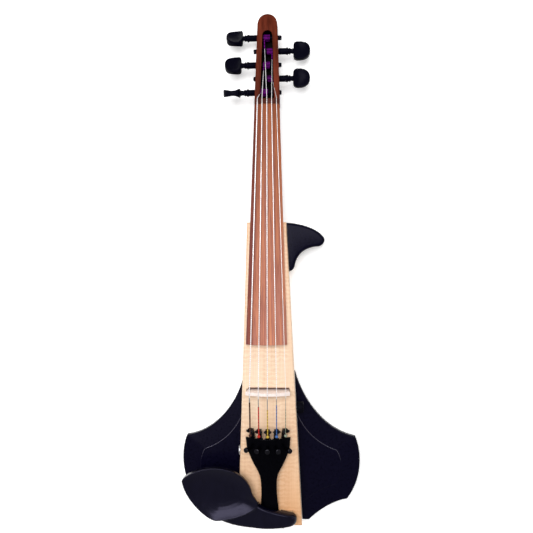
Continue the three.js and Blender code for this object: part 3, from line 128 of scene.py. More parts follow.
@dataclass(frozen=True)
class Layout:
    """Sizes that several sub-assemblies share."""

    strings: tuple[StringRow, ...] = (
        StringRow("c", 0.6, "silk_brown", -9.5, 1.4),
        StringRow("g", 0.5, "silk_red", -13.5, 0.3),
        StringRow("d", 0.46, "silk_yellow", -16.5, 0.0),
        StringRow("a", 0.42, "silk_blue", -11.5, 0.4),
        StringRow("e", 0.3, "silk_grey", -17.5, 3.0),
    )
    pegs: tuple[PegRow, ...] = (
        PegRow("c", -1, 74.0, 51.2, -3.4),
        PegRow("e", 1, 4.0, 49.4, 2.9),
        PegRow("g", -1, 24.0, 50.0, -0.8),
        PegRow("a", 1, -6.0, 49.8, 2.4),
        PegRow("d", -1, 33.0, 48.6, -0.8),
    )
    nut_back: float = 334.3
    nut_spacing: float = 5.45
    bridge_spacing: float = 10.2
    head_length: float = 103.7
    head_rise: float = 2.0
    head_fall: float = 13.7
    first_peg: float = 10.4
    peg_step: float = 16.7
    peg_depth: float = 8.5
    peg_tip: float = 16.4
    shaft_tip: float = 2.65
    shaft_root: float = 3.15
    shaft_end: float = 23.2
    tail_front: float = 50.0
    tail_crown: float = 15.0
    arch_radius: float = 44.0

    def step(self, index: int) -> int:
        """How many strings a string is from the middle one."""
        return index - len(self.strings) // 2

    def along_head(self, y: float) -> float:
        """The share of the head's length at y."""
        return (y - self.nut_back) / self.head_length

    def peg_at(self, index: int) -> Vector:
        """The middle of a peg's axis, on the string line.

        Args:
            index: the peg's place, 0 at the nut.

        Returns:
            The point.
        """
        y = self.nut_back + self.first_peg + index * self.peg_step
        top = TOP + self.head_rise - self.head_fall * self.along_head(y)
        return Vector((0, y, top - self.peg_depth))

    def shaft(self, along: float) -> float:
        """A peg's taper at a distance from its axis' middle towards the thumb piece."""
        share = (along + self.peg_tip) / (self.shaft_end + self.peg_tip)
        return mix(self.shaft_tip, self.shaft_root, share)

    def tuner_frame(self, index: int) -> Matrix:
        """A tuner's own axes: Z out from the arch's centre line, Y along the string.

        Args:
            index: its string's place, 0 on the bass side.

        Returns:
            The matrix from these axes to the violin's.
        """
        angle = math.asin(self.step(index) * self.bridge_spacing / self.arch_radius)
        centre = Vector((0, -self.tail_front, TOP + self.tail_crown - self.arch_radius))
        return Matrix.Translation(centre) @ Matrix.Rotation(angle, 4, "Y")


# ---------------------------------------------------------------- shaping helpers


def mix(a: float, b: float, t: float) -> float:
    """The value a share t of the way from a to b."""
    return a + (b - a) * t


def smooth_step(t: float) -> float:
    """A share from 0 to 1 that starts and ends gently."""
    t = min(max(t, 0.0), 1.0)
    return t * t * (3 - 2 * t)


def past(share: float, start: float, span: float) -> float:
    """How far a share has gone past a start, in spans, and 0 before it."""
    return max(0.0, (share - start) / span)


def raised(rows: Sequence[Pair], height: float) -> list[Pair]:
    """Radius and height pairs, lifted by a height."""
    return [(r, h + height) for r, h in rows]


def crown_drop(radius: float, x: float) -> float:
    """How far an arch of a radius has fallen at x from its crown."""
    return radius - math.sqrt(max(radius * radius - x * x, 0.0))


def on_circle(radius: float, share: float) -> Pair:
    """A point of a circle at a share of its turn."""
    angle = 2 * math.pi * share
    return radius * math.cos(angle), radius * math.sin(angle)


def fluted(radius: float, depth: float, flutes: int) -> list[Pair]:
    """The outline of a round with flutes of a depth cut into it, four points to a flute."""
    cuts = [depth * (0.5 - 0.5 * math.cos(k * math.pi / 2)) for k in range(4)]
    return [on_circle(radius - cuts[k % 4], k / (4 * flutes)) for k in range(4 * flutes)]


def smooth_through(rows: Sequence[Pair], x: float) -> float:
    """The value at x of a smooth curve.

    Args:
        rows: the x and value pairs that it runs through, with one to spare at each end.
        x: where it is wanted.

    Returns:
        The value.
    """
    at = min(max(bisect_left([row[0] for row in rows], x) - 1, 1), len(rows) - 3)
    (x0, y0), (x1, y1), (x2, y2), (x3, y3) = rows[at - 1:at + 3]
    span = x2 - x1
    t = min(max((x - x1) / span, 0.0), 1.0)
    start = (y2 - y0) / (x2 - x0) * span
    end = (y3 - y1) / (x3 - x1) * span
    return (
        (2 * t ** 3 - 3 * t * t + 1) * y1 + (t ** 3 - 2 * t * t + t) * start
        + (3 * t * t - 2 * t ** 3) * y2 + (t ** 3 - t * t) * end
    )


def bezier(row: Curve, t: float) -> Pair:
    """A point of a cubic curve.

    Args:
        row: the curve's four control points.
        t: how far along it, from 0 to 1.

    Returns:
        The point's x and y.
    """
    u = 1 - t
    weights = (u * u * u, 3 * u * u * t, 3 * u * t * t, t * t * t)
    x, y = (sum(w * p[k] for w, p in zip(weights, row)) for k in (0, 1))
    return x, y


def outline_of(
    rows: Sequence[Curve], steps: int, origin: Pair, size: Pair, closed: bool = False
) -> list[Pair]:
    """Points along joined curves.

    Args:
        rows: the curves, as shares.
        steps: points taken on each curve.
        origin: where the shares' zero lies.
        size: what a share of one stands for in x and in y.
        closed: True leaves out the last point, which repeats the first.

    Returns:
        The outline's points.
    """
    shares = [bezier(row, i / steps) for row in rows for i in range(steps)]
    if not closed:
        shares.append(rows[-1][-1])
    return [(origin[0] + x * size[0], origin[1] + y * size[1]) for x, y in shares]


def make_piece(
    name: str, skin: Skin, material: bpy.types.Material, sharp_deg: float = 40.0
) -> bpy.types.Object:
    """A mesh object, smooth except at its sharp edges.

    Args:
        name: the piece's name.
        skin: its points and faces.
        material: its finish.
        sharp_deg: edges that turn by more than this stay sharp.

    Returns:
        The new object, linked to the scene.
    """
    mesh = bpy.data.meshes.new(name)
    mesh.from_pydata([v * MM for v in skin[0]], [], skin[1])
    bm = bmesh.new()
    bm.from_mesh(mesh)
    bmesh.ops.recalc_face_normals(bm, faces=bm.faces)
    if bm.calc_volume(signed=True) < 0:
        bmesh.ops.reverse_faces(bm, faces=bm.faces)
    bm.to_mesh(mesh)
    bm.free()
    mesh.shade_smooth()
    mesh.set_sharp_from_angle(angle=math.radians(sharp_deg))
    mesh.materials.append(material)
    return linked(name, mesh)


def linked(name: str, data: bpy.types.ID) -> bpy.types.Object:
    """A new object of some data, linked to the scene.

    Args:
        name: its name.
        data: its mesh, lamp or camera.

    Returns:
        The object.
    """
    made = bpy.data.objects.new(name, data)
    bpy.context.scene.collection.objects.link(made)
    return made


def walls_between(rings: int, count: int) -> list[list[int]]:
    """The faces between rings of a count of points each.

    Args:
        rings: how many rings there are.
        count: how many points each has.

    Returns:
        The faces.
    """
    faces = []
    for r in range(rings - 1):
        for i in range(count):
            a, b = r * count + i, r * count + (i + 1) % count
            faces.append([a, b, b + count, a + count])
    return faces


def lofted(rings: Sequence[Ring]) -> Skin:
    """Closes rings of equal count into a skin with a cap at each end.

    Args:
        rings: the rings, in order.

    Returns:
        The points and the faces.
    """
    count = len(rings[0])
    last = (len(rings) - 1) * count
    caps = [list(range(count))[::-1], list(range(last, last + count))]
    return [p for ring in rings for p in ring], walls_between(len(rings), count) + caps


def turned(profile: Sequence[Pair], sides: int, matrix: Matrix) -> Skin:
    """A turned form from a profile of radius and height.

    Args:
        profile: radius and height pairs. The first and last lie on the axis.
        sides: how many sides the form has.
        matrix: takes it from its own Z axis to its place.

    Returns:
        The points and the faces.
    """
    inner = profile[1:-1]
    points = [Vector((*on_circle(r, k / sides), h)) for r, h in inner for k in range(sides)]
    faces = walls_between(len(inner), sides)
    for base, end in ((0, profile[0]), (len(inner) - 1, profile[-1])):
        faces += [
            [base * sides + k, base * sides + (k + 1) % sides, len(points)] for k in range(sides)
        ]
        points.append(Vector((0, 0, end[1])))
    return [matrix @ p for p in points], faces


def swept(path: Sequence[Vector], radii: Sequence[float], sides: int) -> Skin:
    """A round tube along a path.

    Args:
        path: its points.
        radii: its radius at each point.
        sides: how many sides it has.

    Returns:
        The points and the faces.
    """
    ends = [path[0], *path, path[-1]]
    along = [(after - before).normalized() for before, after in zip(ends, ends[2:])]
    normal = Vector(Y_AXIS) if abs(along[0].z) > abs(along[0].y) else Vector(Z_AXIS)
    rings: list[Ring] = []
    for p, way, radius in zip(path, along, radii):
        normal = (normal - way * normal.dot(way)).normalized()
        side = way.cross(normal)
        shares = [on_circle(radius, k / sides) for k in range(sides)]
        rings.append([p + normal * a + side * b for a, b in shares])
    return lofted(rings)


def merged(parts: Sequence[Skin]) -> Skin:
    """Several skins as one.

    Args:
        parts: the skins.

    Returns:
        The points and the faces.
    """
    points: list[Vector] = []
    faces: list[list[int]] = []
    for part, part_faces in parts:
        faces += [[i + len(points) for i in face] for face in part_faces]
        points += part
    return points, faces


def add_modifier(piece: bpy.types.Object, kind: str, **values: object) -> None:
    """Adds a modifier and sets its values.

    Args:
        piece: what gets it.
        kind: its type.
        values: its settings, by name.
    """
    modifier = piece.modifiers.new(kind.lower(), kind)
    for key, value in values.items():
        setattr(modifier, key, value)


def apply_modifiers(piece: bpy.types.Object) -> None:
    """Turns a piece's modifiers into its mesh.

    Args:
        piece: the piece.
    """
    graph = bpy.context.evaluated_depsgraph_get()
    mesh = bpy.data.meshes.new_from_object(piece.evaluated_get(graph))
    piece.modifiers.clear()
    old = piece.data
    piece.data = mesh
    bpy.data.meshes.remove(old)


def smooth_node(node: bpy.types.Object, bevel: float, angle: float) -> None:
    """Rounds and smooths a carried-over solid without touching its mesh.

    Args:
        node: the solid's object.
        bevel: how far its edges are rounded.
        angle: edges that turn by more than this many degrees stay crisp.
    """
    for polygon in node.data.polygons:
        polygon.use_smooth = True
    add_modifier(node, "WELD", merge_threshold=WELD_REACH)
    if bevel > 0:
        add_modifier(
            node, "BEVEL", width=bevel * MM, segments=3, limit_method="ANGLE",
            angle_limit=math.radians(angle), harden_normals=False, use_clamp_overlap=True,
        )
    split = math.radians(angle + SPLIT_SPARE_DEG)
    add_modifier(node, "EDGE_SPLIT", split_angle=split, use_edge_sharp=False)


# ---------------------------------------------------------------- finishes


@dataclass(frozen=True)
class Grain:
    """A noise over the object's coordinates, with a factor that stretches each axis."""

    stretch: Triple
    scale: float
    detail: float = 3.0
    rough: float = 0.5


class Tree:
    """A short way to build shader nodes."""

    def __init__(self, tree: bpy.types.ShaderNodeTree) -> None:
        """Takes the tree that the nodes go into."""
        self.tree = tree

    def feed(self, socket: Socket, value: Socket | float | tuple) -> None:
        """Links a socket to an input, or sets the input to a value.

        Args:
            socket: the input.
            value: the socket or the value that it gets.
        """
        if isinstance(value, bpy.types.NodeSocket):
            self.tree.links.new(value, socket)
        elif socket.type == "RGBA" and len(value) == 3:
            socket.default_value = (*value, 1)
        else:
            socket.default_value = value

    def add(
        self, kind: str, inputs: dict[str | int, Socket | float | tuple] | None = None,
        **settings: object,
    ) -> bpy.types.ShaderNode:
        """Adds a node.

        Args:
            kind: the end of its type's name, after ShaderNode.
            inputs: a socket or a value for its inputs, by name or number.
            settings: the node's own settings.

        Returns:
            The new node.
        """
        node = self.tree.nodes.new("ShaderNode" + kind)
        for key, value in settings.items():
            setattr(node, key, value)
        for key, value in (inputs or {}).items():
            self.feed(node.inputs[key], value)
        return node

    def seen_strength(self, extra: float, base: float) -> Socket:
        """A strength that is higher for what is seen directly, mirrored or through glass.

        Args:
            extra: what is added for those rays.
            base: the strength for all other light.

        Returns:
            The strength.
        """
        path = self.add("LightPath").outputs
        seen = path["Is Camera Ray"]
        for ray in ("Is Glossy Ray", "Is Transmission Ray"):
            seen = self.add("Math", {0: seen, 1: path[ray]}, operation="MAXIMUM").outputs[0]
        inputs = {0: seen, 1: extra, 2: base}
        return self.add("Math", inputs, operation="MULTIPLY_ADD").outputs[0]


class Nodes(Tree):
    """A short way to build a material's nodes."""

    def __init__(self, name: str) -> None:
        """Starts a new material with one shader.

        Args:
            name: the finish's name.
        """
        self.material = bpy.data.materials.new(name + "_finish")
        self.material.use_nodes = True
        super().__init__(self.material.node_tree)
        self.tree.nodes.clear()
        self.shader = self.add("BsdfPrincipled")
        self.output = self.add("OutputMaterial", {"Surface": self.shader.outputs[0]})
        self.place = self.add("TexCoord").outputs["Object"]

    def set(self, **values: Socket | float | tuple) -> None:
        """Feeds the shader's own inputs, with spaces written as underscores."""
        for key, value in values.items():
            self.feed(self.shader.inputs[key.replace("_", " ")], value)

    def noise(self, grain: Grain) -> Socket:
        """A noise value over the object's coordinates.

        Args:
            grain: the noise.

        Returns:
            Its value.
        """
        vector = self.add("Mapping", {"Vector": self.place, "Scale": grain.stretch}).outputs[0]
        inputs = {
            "Vector": vector, "Scale": grain.scale, "Detail": grain.detail,
            "Roughness": grain.rough,
        }
        return self.add("TexNoise", inputs).outputs["Fac"]

    def bands(self, scale: float, distortion: float = 0.0, detail_scale: float = 1.0) -> Socket:
        """Bands that follow each other along Y.

        Args:
            scale: how close they stand.
            distortion: how far they wander.
            detail_scale: how fine that wandering is.

        Returns:
            Their value.
        """
        inputs = {
            "Vector": self.place, "Scale": scale, "Distortion": distortion,
            "Detail Scale": detail_scale,
        }
        return self.add("TexWave", inputs, bands_direction="Y").outputs["Fac"]

    def ramp(self, value: Socket, stops: Stops) -> Socket:
        """Colours over a value.

        Args:
            value: what picks the colour.
            stops: places from 0 to 1 and their colours.

        Returns:
            The colour.
        """
        node = self.add("ValToRGB", {0: value})
        elements = node.color_ramp.elements
        while len(elements) < len(stops):
            elements.new(0.5)
        for element, (at, colour) in zip(elements, stops):
            element.position = at
            element.color = (*colour, 1)
        return node.outputs[0]

    def blend(
        self, share: Socket | float, a: Socket, b: Socket | Triple, mode: str = "MULTIPLY"
    ) -> Socket:
        """A share of a second colour, multiplied into the first or mixed with it."""
        inputs = {0: share, 6: a, 7: b}
        return self.add("Mix", inputs, data_type="RGBA", blend_type=mode).outputs[2]

    def between(
        self, value: Socket, low: float, high: float, to_low: float, to_high: float
    ) -> Socket:
        """A value taken from one range to another."""
        inputs = {0: value, 1: low, 2: high, 3: to_low, 4: to_high}
        return self.add("MapRange", inputs).outputs[0]

    def mask(self, way: Triple, start: float, end: float, most: float = 1.0) -> Socket:
        """What grows from 0 at the start to its most at the end, along a way in metres."""
        along = self.add("VectorMath", {0: self.place, 1: way}, operation="DOT_PRODUCT")
        return self.between(along.outputs["Value"], start, end, 0.0, most)

    def within(self, walls: Sequence[Wall]) -> Socket:
        """1 inside a space.

        Args:
            walls: for each side, the way to measure along, and the places just outside and
                just inside it, in metres.

        Returns:
            The product of the sides' masks.
        """
        inside = self.mask(*walls[0])
        for wall in walls[1:]:
            pair = {0: inside, 1: self.mask(*wall)}
            inside = self.add("Math", pair, operation="MULTIPLY").outputs[0]
        return inside

    def bump(self, height: Socket, relief: Pair) -> None:
        """Raises the surface by a value, with a strength and a distance in metres."""
        inputs = {"Strength": relief[0], "Distance": relief[1], "Height": height}
        self.set(Normal=self.add("Bump", inputs).outputs[0])


@dataclass(frozen=True)
class Finish:
    """A named surface."""

    name: str

    def material(self) -> bpy.types.Material:
        """Builds the finish.

        Returns:
            The material.
        """
        n = Nodes(self.name)
        self.paint(n)
        return n.material

    def paint(self, n: Nodes) -> None:
        """Feeds the shader."""
        raise NotImplementedError


@dataclass(frozen=True)
class MapleFinish(Finish):
    """Pale figured maple under a clear satin lacquer, with painted shade that makes it darker and
    warmer towards the tail and towards the head end.
    """

    name: str = "maple"
    base: Stops = ((0.3, (0.84, 0.60, 0.41)), (0.62, (0.93, 0.74, 0.56)))
    flame: Stops = ((0.0, (0.76, 0.51, 0.32)), (1.0, (0.93, 0.74, 0.56)))
    pores: Stops = ((0.35, (0.80, 0.68, 0.55)), (0.62, WHITE))
    # Painted shade: a darker, warmer colour multiplied in towards the tail and towards the head
    # end.
    shade_tone: Triple = (0.90, 0.66, 0.46)
    # Painted shade, dark brown, in the gap round the bridge's slot.
    rim: Triple = (0.10, 0.035, 0.018)
    drift: Grain = Grain((30, 4, 30), 1.6, 2.0)
    patches: Grain = Grain((18, 9, 9), 3.0)
    grain: Grain = Grain((260, 5, 260), 3.0, 4.0, 0.6)
    flames: Triple = (62, 5.5, 3.0)
    flame_share: tuple[float, float, float, float] = (0.35, 0.66, 0.10, 0.62)
    pore_share: float = 0.30
    # Painted shade of the light's falloff, towards the tail and the treble side.
    tailward: Wall = ((0.35, -1.0, 0.0), 0.0, 0.15)
    # Painted shade beside the fingerboard, growing towards the head end.
    headward_shade: Wall = (Y_AXIS, 0.03, 0.19)
    headward_shade_most: float = 0.6
    roughness: float = 0.42
    coat: Pair = (0.1, 0.25)
    relief: Pair = (0.06, 0.0002)
    # Where the painted shade of the gap round the bridge's slot goes.
    slot: tuple[Wall, ...] = (
        (X_AXIS, -0.0229, -0.0224), (X_AXIS, 0.0245, 0.0240),
        (Y_AXIS, 0.0022, 0.0025), (Y_AXIS, 0.0051, 0.0047), (Z_AXIS, 0.028, 0.029),
    )

    def paint(self, n: Nodes) -> None:
        """Flame bands across the plank, pores along it, painted shade towards both ends and
        painted shade in the gap round the bridge's slot.

        Args:
            n: the material's nodes.
        """
        grain = n.noise(self.grain)
        base = n.ramp(n.noise(self.drift), self.base)
        flamed = n.ramp(n.bands(*self.flames), self.flame)
        share = n.between(n.noise(self.patches), *self.flame_share)
        colour = n.blend(share, base, flamed, "MIX")
        colour = n.blend(self.pore_share, colour, n.ramp(grain, self.pores))
        # Painted shade: darker and warmer towards the tail and the treble side, and towards the
        # head end.
        colour = n.blend(n.mask(*self.tailward), colour, self.shade_tone)
        colour = n.blend(n.mask(*self.headward_shade, self.headward_shade_most), colour, self.shade_tone)
        # Painted shade in the gap round the bridge's slot.
        colour = n.blend(n.within(self.slot), colour, self.rim, "MIX")
        coat, coat_roughness = self.coat
        n.set(Base_Color=colour, Roughness=self.roughness)
        n.set(Coat_Weight=coat, Coat_Roughness=coat_roughness)
        n.bump(grain, self.relief)


@dataclass(frozen=True)
class StreakedWoodFinish(Finish):
    """Dark wood with streaks along the strings, under oil."""

    stops: Stops
    streaks: Grain = Grain((85.0, 2.2, 85.0), 2.2, 5.0, 0.6)
    fine: Grain = Grain((420, 7, 420), 2.0, 3.0, 0.6)
    pores: Stops = ((0.36, (0.62, 0.56, 0.52)), (0.6, WHITE))
    pore_share: float = 0.4
    roughness: float = 0.42
    specular: float = 0.03
    relief: Pair = (0.10, 0.0002)

    def paint(self, n: Nodes) -> None:
        """Long noise along Y, under finer lines.

        Args:
            n: the material's nodes.
        """
        fine = n.noise(self.fine)
        colour = n.ramp(n.noise(self.streaks), self.stops)
        colour = self.shaded(n, n.blend(self.pore_share, colour, n.ramp(fine, self.pores)))
        n.set(Base_Color=colour, Roughness=self.roughness, Specular_IOR_Level=self.specular)
        n.bump(fine, self.relief)

    def shaded(self, n: Nodes, colour: Socket) -> Socket:
        """The colour as it is: a wood without a change from place to place."""
        return colour


@dataclass(frozen=True)
class BoardFinish(StreakedWoodFinish):
    """The fingerboard: mauve along its bass edge, browner towards the nut."""

    bass: Triple = (0.46, 0.34, 0.42)
    bass_edge: Wall = ((1.0, -0.0318, 0.0), -0.0165, -0.0225)
    nutward: Triple = (0.46, 0.32, 0.19)
    nut_end: Wall = (Y_AXIS, 0.02, 0.33)

    def shaded(self, n: Nodes, colour: Socket) -> Socket:
        """Darkens the bass edge and the end at the nut."""
        colour = n.blend(n.mask(*self.bass_edge), colour, self.bass)
        return n.blend(n.mask(*self.nut_end), colour, self.nutward)


@dataclass(frozen=True)
class HeadFinish(StreakedWoodFinish):
    """The neck and head: red-brown wood, with painted shade, near black, inside the peg box."""

    # Painted shade, near black, in the recess of the peg box.
    inside: Triple = (0.0012, 0.0006, 0.0009)
    peg_box_shade: tuple[Wall, ...] = (
        ((1.0, 0.0287, 0.0), 0.0182, 0.0179), ((-1.0, 0.0287, 0.0), 0.0182, 0.0179),
        ((0.0, 0.1321, 1.0), 0.0804, 0.0788), ((0.0, 0.07907, 1.0), 0.0452, 0.0456),
        (Y_AXIS, 0.3383, 0.3388), (Y_AXIS, 0.419, 0.4185),
    )

    def shaded(self, n: Nodes, colour: Socket) -> Socket:
        """Paints shade, near black, on what lies below the head's top between its cheeks."""
        return n.blend(n.within(self.peg_box_shade), colour, self.inside, "MIX")


@dataclass(frozen=True)
class BlackFinish(Finish):
    """A black surface with a faint unevenness, from satin lacquer to polish."""

    colour: Triple
    roughness: float
    specular: float
    stretch: Triple = (60.0, 60.0, 60.0)
    depth: float = 0.05
    tint: tuple[float, float, float, float] = (0.84, 0.82, 1.0, 1.0)
    gain: float = 1.6
    lift: float = 0.0008
    mottle: Pair = (6.0, 4.0)
    texture: Pair = (9.0, 2.0)
    span: Pair = (0.3, 0.75)
    rough_span: Pair = (0.2, 0.8)
    spread: Pair = (-0.03, 0.04)
    relief: float = 0.0001

    def paint(self, n: Nodes) -> None:
        """A mottled colour and roughness over a shallow texture.

        Args:
            n: the material's nodes.
        """
        mottle = n.noise(Grain(self.stretch, *self.mottle))
        red, green, blue = (c * self.gain + self.lift for c in self.colour)
        stops = tuple(zip(self.span, (self.colour, (red, green, blue))))
        smooth, rough = (self.roughness + change for change in self.spread)
        n.set(
            Base_Color=n.ramp(mottle, stops),
            Roughness=n.between(mottle, *self.rough_span, smooth, rough),
            Specular_IOR_Level=self.specular, Specular_Tint=self.tint,
        )
        n.bump(n.noise(Grain(self.stretch, *self.texture)), (self.depth, self.relief))


@dataclass(frozen=True)
class PaleFinish(Finish):
    """Off-white, steel or cork: a light surface with its own speckle."""

    low: Triple
    high: Triple
    stretch: Triple = (120.0, 120.0, 120.0)
    roughness: float = 0.5
    metallic: float = 0.0
    depth: float = 0.05
    speckle: Triple = (5.0, 5.0, 0.6)
    span: Pair = (0.32, 0.68)
    relief: float = 0.0003

    def paint(self, n: Nodes) -> None:
        """Two colours over one noise.

        Args:
            n: the material's nodes.
        """
        speckle = n.noise(Grain(self.stretch, *self.speckle))
        colour = n.ramp(speckle, tuple(zip(self.span, (self.low, self.high))))
        n.set(Base_Color=colour, Roughness=self.roughness, Metallic=self.metallic)
        n.bump(speckle, (self.depth, self.relief))


@dataclass(frozen=True)
class WoundFinish(Finish):
    """Fine turns round a string: metal ribbon, with painted shade behind the bridge."""

    colour: Triple
    groove: Triple
    metallic: float = 0.0
    turns: float = 130.0
    roughness: float = 0.3
    specular: float = 0.5
    span: Pair = (0.1, 0.5)
    tone: Grain = Grain((40, 40, 40), 4.0)
    tones: Stops = ((0.3, (0.78, 0.78, 0.78)), (0.7, WHITE))
    tone_share: float = 0.5
    relief: Pair = (0.35, 0.0001)
    # Painted shade: the wire behind the bridge is darkened towards the tail.
    afterlength_shade: float = 0.8
    afterlength_shade_colour: Triple = (0.09, 0.08, 0.085)
    afterlength_shade_from: Wall = (Y_AXIS, -0.003, -0.006)

    def paint(self, n: Nodes) -> None:
        """Fine bands across the string, with painted shade on the wire behind the bridge.

        Args:
            n: the material's nodes.
        """
        bands = n.bands(self.turns)
        colour = n.ramp(bands, tuple(zip(self.span, (self.groove, self.colour))))
        colour = n.blend(self.tone_share, colour, n.ramp(n.noise(self.tone), self.tones))
        # Painted shade on the wire behind the bridge.
        colour = n.blend(n.mask(*self.afterlength_shade_from, self.afterlength_shade), colour, self.afterlength_shade_colour, "MIX")
        n.set(
            Base_Color=colour, Metallic=self.metallic, Roughness=self.roughness,
            Specular_IOR_Level=self.specular,
        )
        n.bump(bands, self.relief)


@dataclass(frozen=True)
class SilkFinish(WoundFinish):
    """Silk thread round a string's end."""

    turns: float = 90.0
    roughness: float = 0.6
    specular: float = 0.1
    afterlength_shade: float = 0.0


@dataclass
class Finishes:
    """Every finish of the violin, made once."""

    made: dict[str, bpy.types.Material] = field(default_factory=dict)

    def __post_init__(self) -> None:
        """Builds all the materials."""
        board = (
            (0.30, (0.33, 0.135, 0.12)), (0.40, (0.62, 0.27, 0.20)),
            (0.48, (0.45, 0.175, 0.13)), (0.55, (0.76, 0.32, 0.19)),
            (0.63, (0.58, 0.225, 0.14)), (0.72, (0.84, 0.43, 0.31)),
        )
        redwood = (
            (0.3, (0.050, 0.009, 0.004)), (0.5, (0.108, 0.019, 0.009)),
            (0.7, (0.175, 0.035, 0.017)),
        )
        # The nut's wood, darker than the head's.
        nut_tones = (
            (0.3, (0.035, 0.009, 0.006)), (0.5, (0.070, 0.018, 0.012)),
            (0.7, (0.110, 0.030, 0.022)),
        )
        recipes: tuple[Finish, ...] = (
            MapleFinish(),
            BoardFinish(
                "board_wood", board, Grain((150.0, 2.6, 150.0), 2.2, 5.0, 0.6),
                roughness=0.46, specular=0.12,
            ),
            HeadFinish("redwood", redwood),
            StreakedWoodFinish("nut_wood", nut_tones),
            BlackFinish("satin_lacquer", (0.0010, 0.0007, 0.0058), 0.28, 0.05, depth=0.008),
            BlackFinish("tailpiece_black", (0.0001, 0.0001, 0.0006), 0.28, 0.025, depth=0.01),
            BlackFinish(
                "ebony", (0.0004, 0.0003, 0.0034), 0.20, 0.17, (30.0, 14.0, 30.0), 0.002,
                (0.70, 0.66, 1.0, 1.0),
            ),
            # A lighter, glossier lacquer for the crease bead: a painted highlight line on a real
            # raised edge.
            BlackFinish("burnished_lacquer", (0.004, 0.003, 0.012), 0.26, 0.9, depth=0.01),
            BlackFinish(
                "peg_ebony", (0.0008, 0.0007, 0.0038), 0.34, 0.03, (90.0, 90.0, 90.0), 0.02
            ),
            BlackFinish("black_metal", (0.0004, 0.0003, 0.0010), 0.13, 0.17, depth=0.01),
            BlackFinish("black_plastic", (0.0008, 0.0007, 0.0022), 0.42, 0.03, depth=0.02),
            BlackFinish("pickup_black", (0.0040, 0.0030, 0.0030), 0.5, 0.1),
            PaleFinish("bone", (0.84, 0.71, 0.66), (0.95, 0.84, 0.79), (90, 90, 90), 0.42),
            PaleFinish(
                "steel", (0.42, 0.42, 0.44), (0.60, 0.60, 0.62), roughness=0.32, metallic=1.0
            ),
            PaleFinish(
                "cork", (0.30, 0.18, 0.09), (0.62, 0.44, 0.26), (260, 260, 260), 0.85, depth=0.6
            ),
            WoundFinish("wound_string", (0.97, 0.95, 0.96), (0.78, 0.75, 0.76), 0.45),
            WoundFinish("plain_string", (0.93, 0.92, 0.92), (0.84, 0.83, 0.84), 0.6),
            SilkFinish("silk_brown", (0.075, 0.03, 0.022), (0.03, 0.012, 0.01)),
            SilkFinish("silk_red", (0.55, 0.035, 0.025), (0.25, 0.015, 0.01)),
            SilkFinish("silk_yellow", (0.62, 0.42, 0.06), (0.34, 0.2, 0.03)),
            SilkFinish("silk_blue", (0.07, 0.16, 0.42), (0.03, 0.07, 0.2)),
            SilkFinish("silk_grey", (0.30, 0.34, 0.26), (0.14, 0.16, 0.12)),
            SilkFinish(
                "silk_purple", (0.20, 0.008, 0.25), (0.075, 0.003, 0.10), roughness=0.7,
                specular=0.04,
            ),
        )
        for recipe in recipes:
            self.made[recipe.name] = recipe.material()

    def __getitem__(self, name: str) -> bpy.types.Material:
        """The finish of a name."""
        return self.made[name]


LAYOUT = Layout()


@dataclass(frozen=True)
class Dress:
    """What a carried-over solid gets: its finish and its edges' rounding and crispness."""

    node: str
    finish: str
    bevel: float = 0.0
    crisp_deg: float = 32.0


@dataclass
class SubAssembly:
    """What every sub-assembly shares: the frame, the finishes and how a piece is added."""

    solids: ClassVar[tuple[Dress, ...]] = ()
    frame: dict[str, dict[str, bpy.types.Object]]
    finishes: Finishes

    def build(self) -> None:
        """Dresses the solids, and then makes the new pieces."""
        for solid in self.solids:
            self.dress(solid)
        self.make()

    def make(self) -> None:
        """Makes nothing, where a sub-assembly has no new pieces."""

    def piece(
        self, name: str, skin: Skin, finish: str, body: str, slot: Slot,
        replaced: Sequence[str] = (), sharp_deg: float = 60.0,
    ) -> None:
        """Makes a piece that rides on a body and stands for solids, if any are named."""
        made = make_piece(name, skin, self.finishes[finish], sharp_deg)
        self.adopt(made, body, slot, replaced)

    def adopt(
        self, made: bpy.types.Object, body: str, slot: Slot, replaced: Sequence[str]
    ) -> None:
        """Lets an object ride on a body and stand for solids.

        Args:
            made: the object.
            body: the body.
            slot: not used.
            replaced: the solids it stands for.
        """
        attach(made, body)
        if replaced:
            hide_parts(*replaced)
        LOG.info("piece %s with %d faces", made.name, len(made.data.polygons))

    def dress(self, dress: Dress) -> None:
        """Gives a carried-over solid its finish and soft edges.

        Args:
            dress: which solid it is and what it gets.
        """
        solid = self.frame["nodes"][dress.node]
        solid.data.materials.clear()
        solid.data.materials.append(self.finishes[dress.finish])
        smooth_node(solid, dress.bevel, dress.crisp_deg)
        LOG.info("solid %s dressed in %s", dress.node, dress.finish)


# ---------------------------------------------------------------- the body


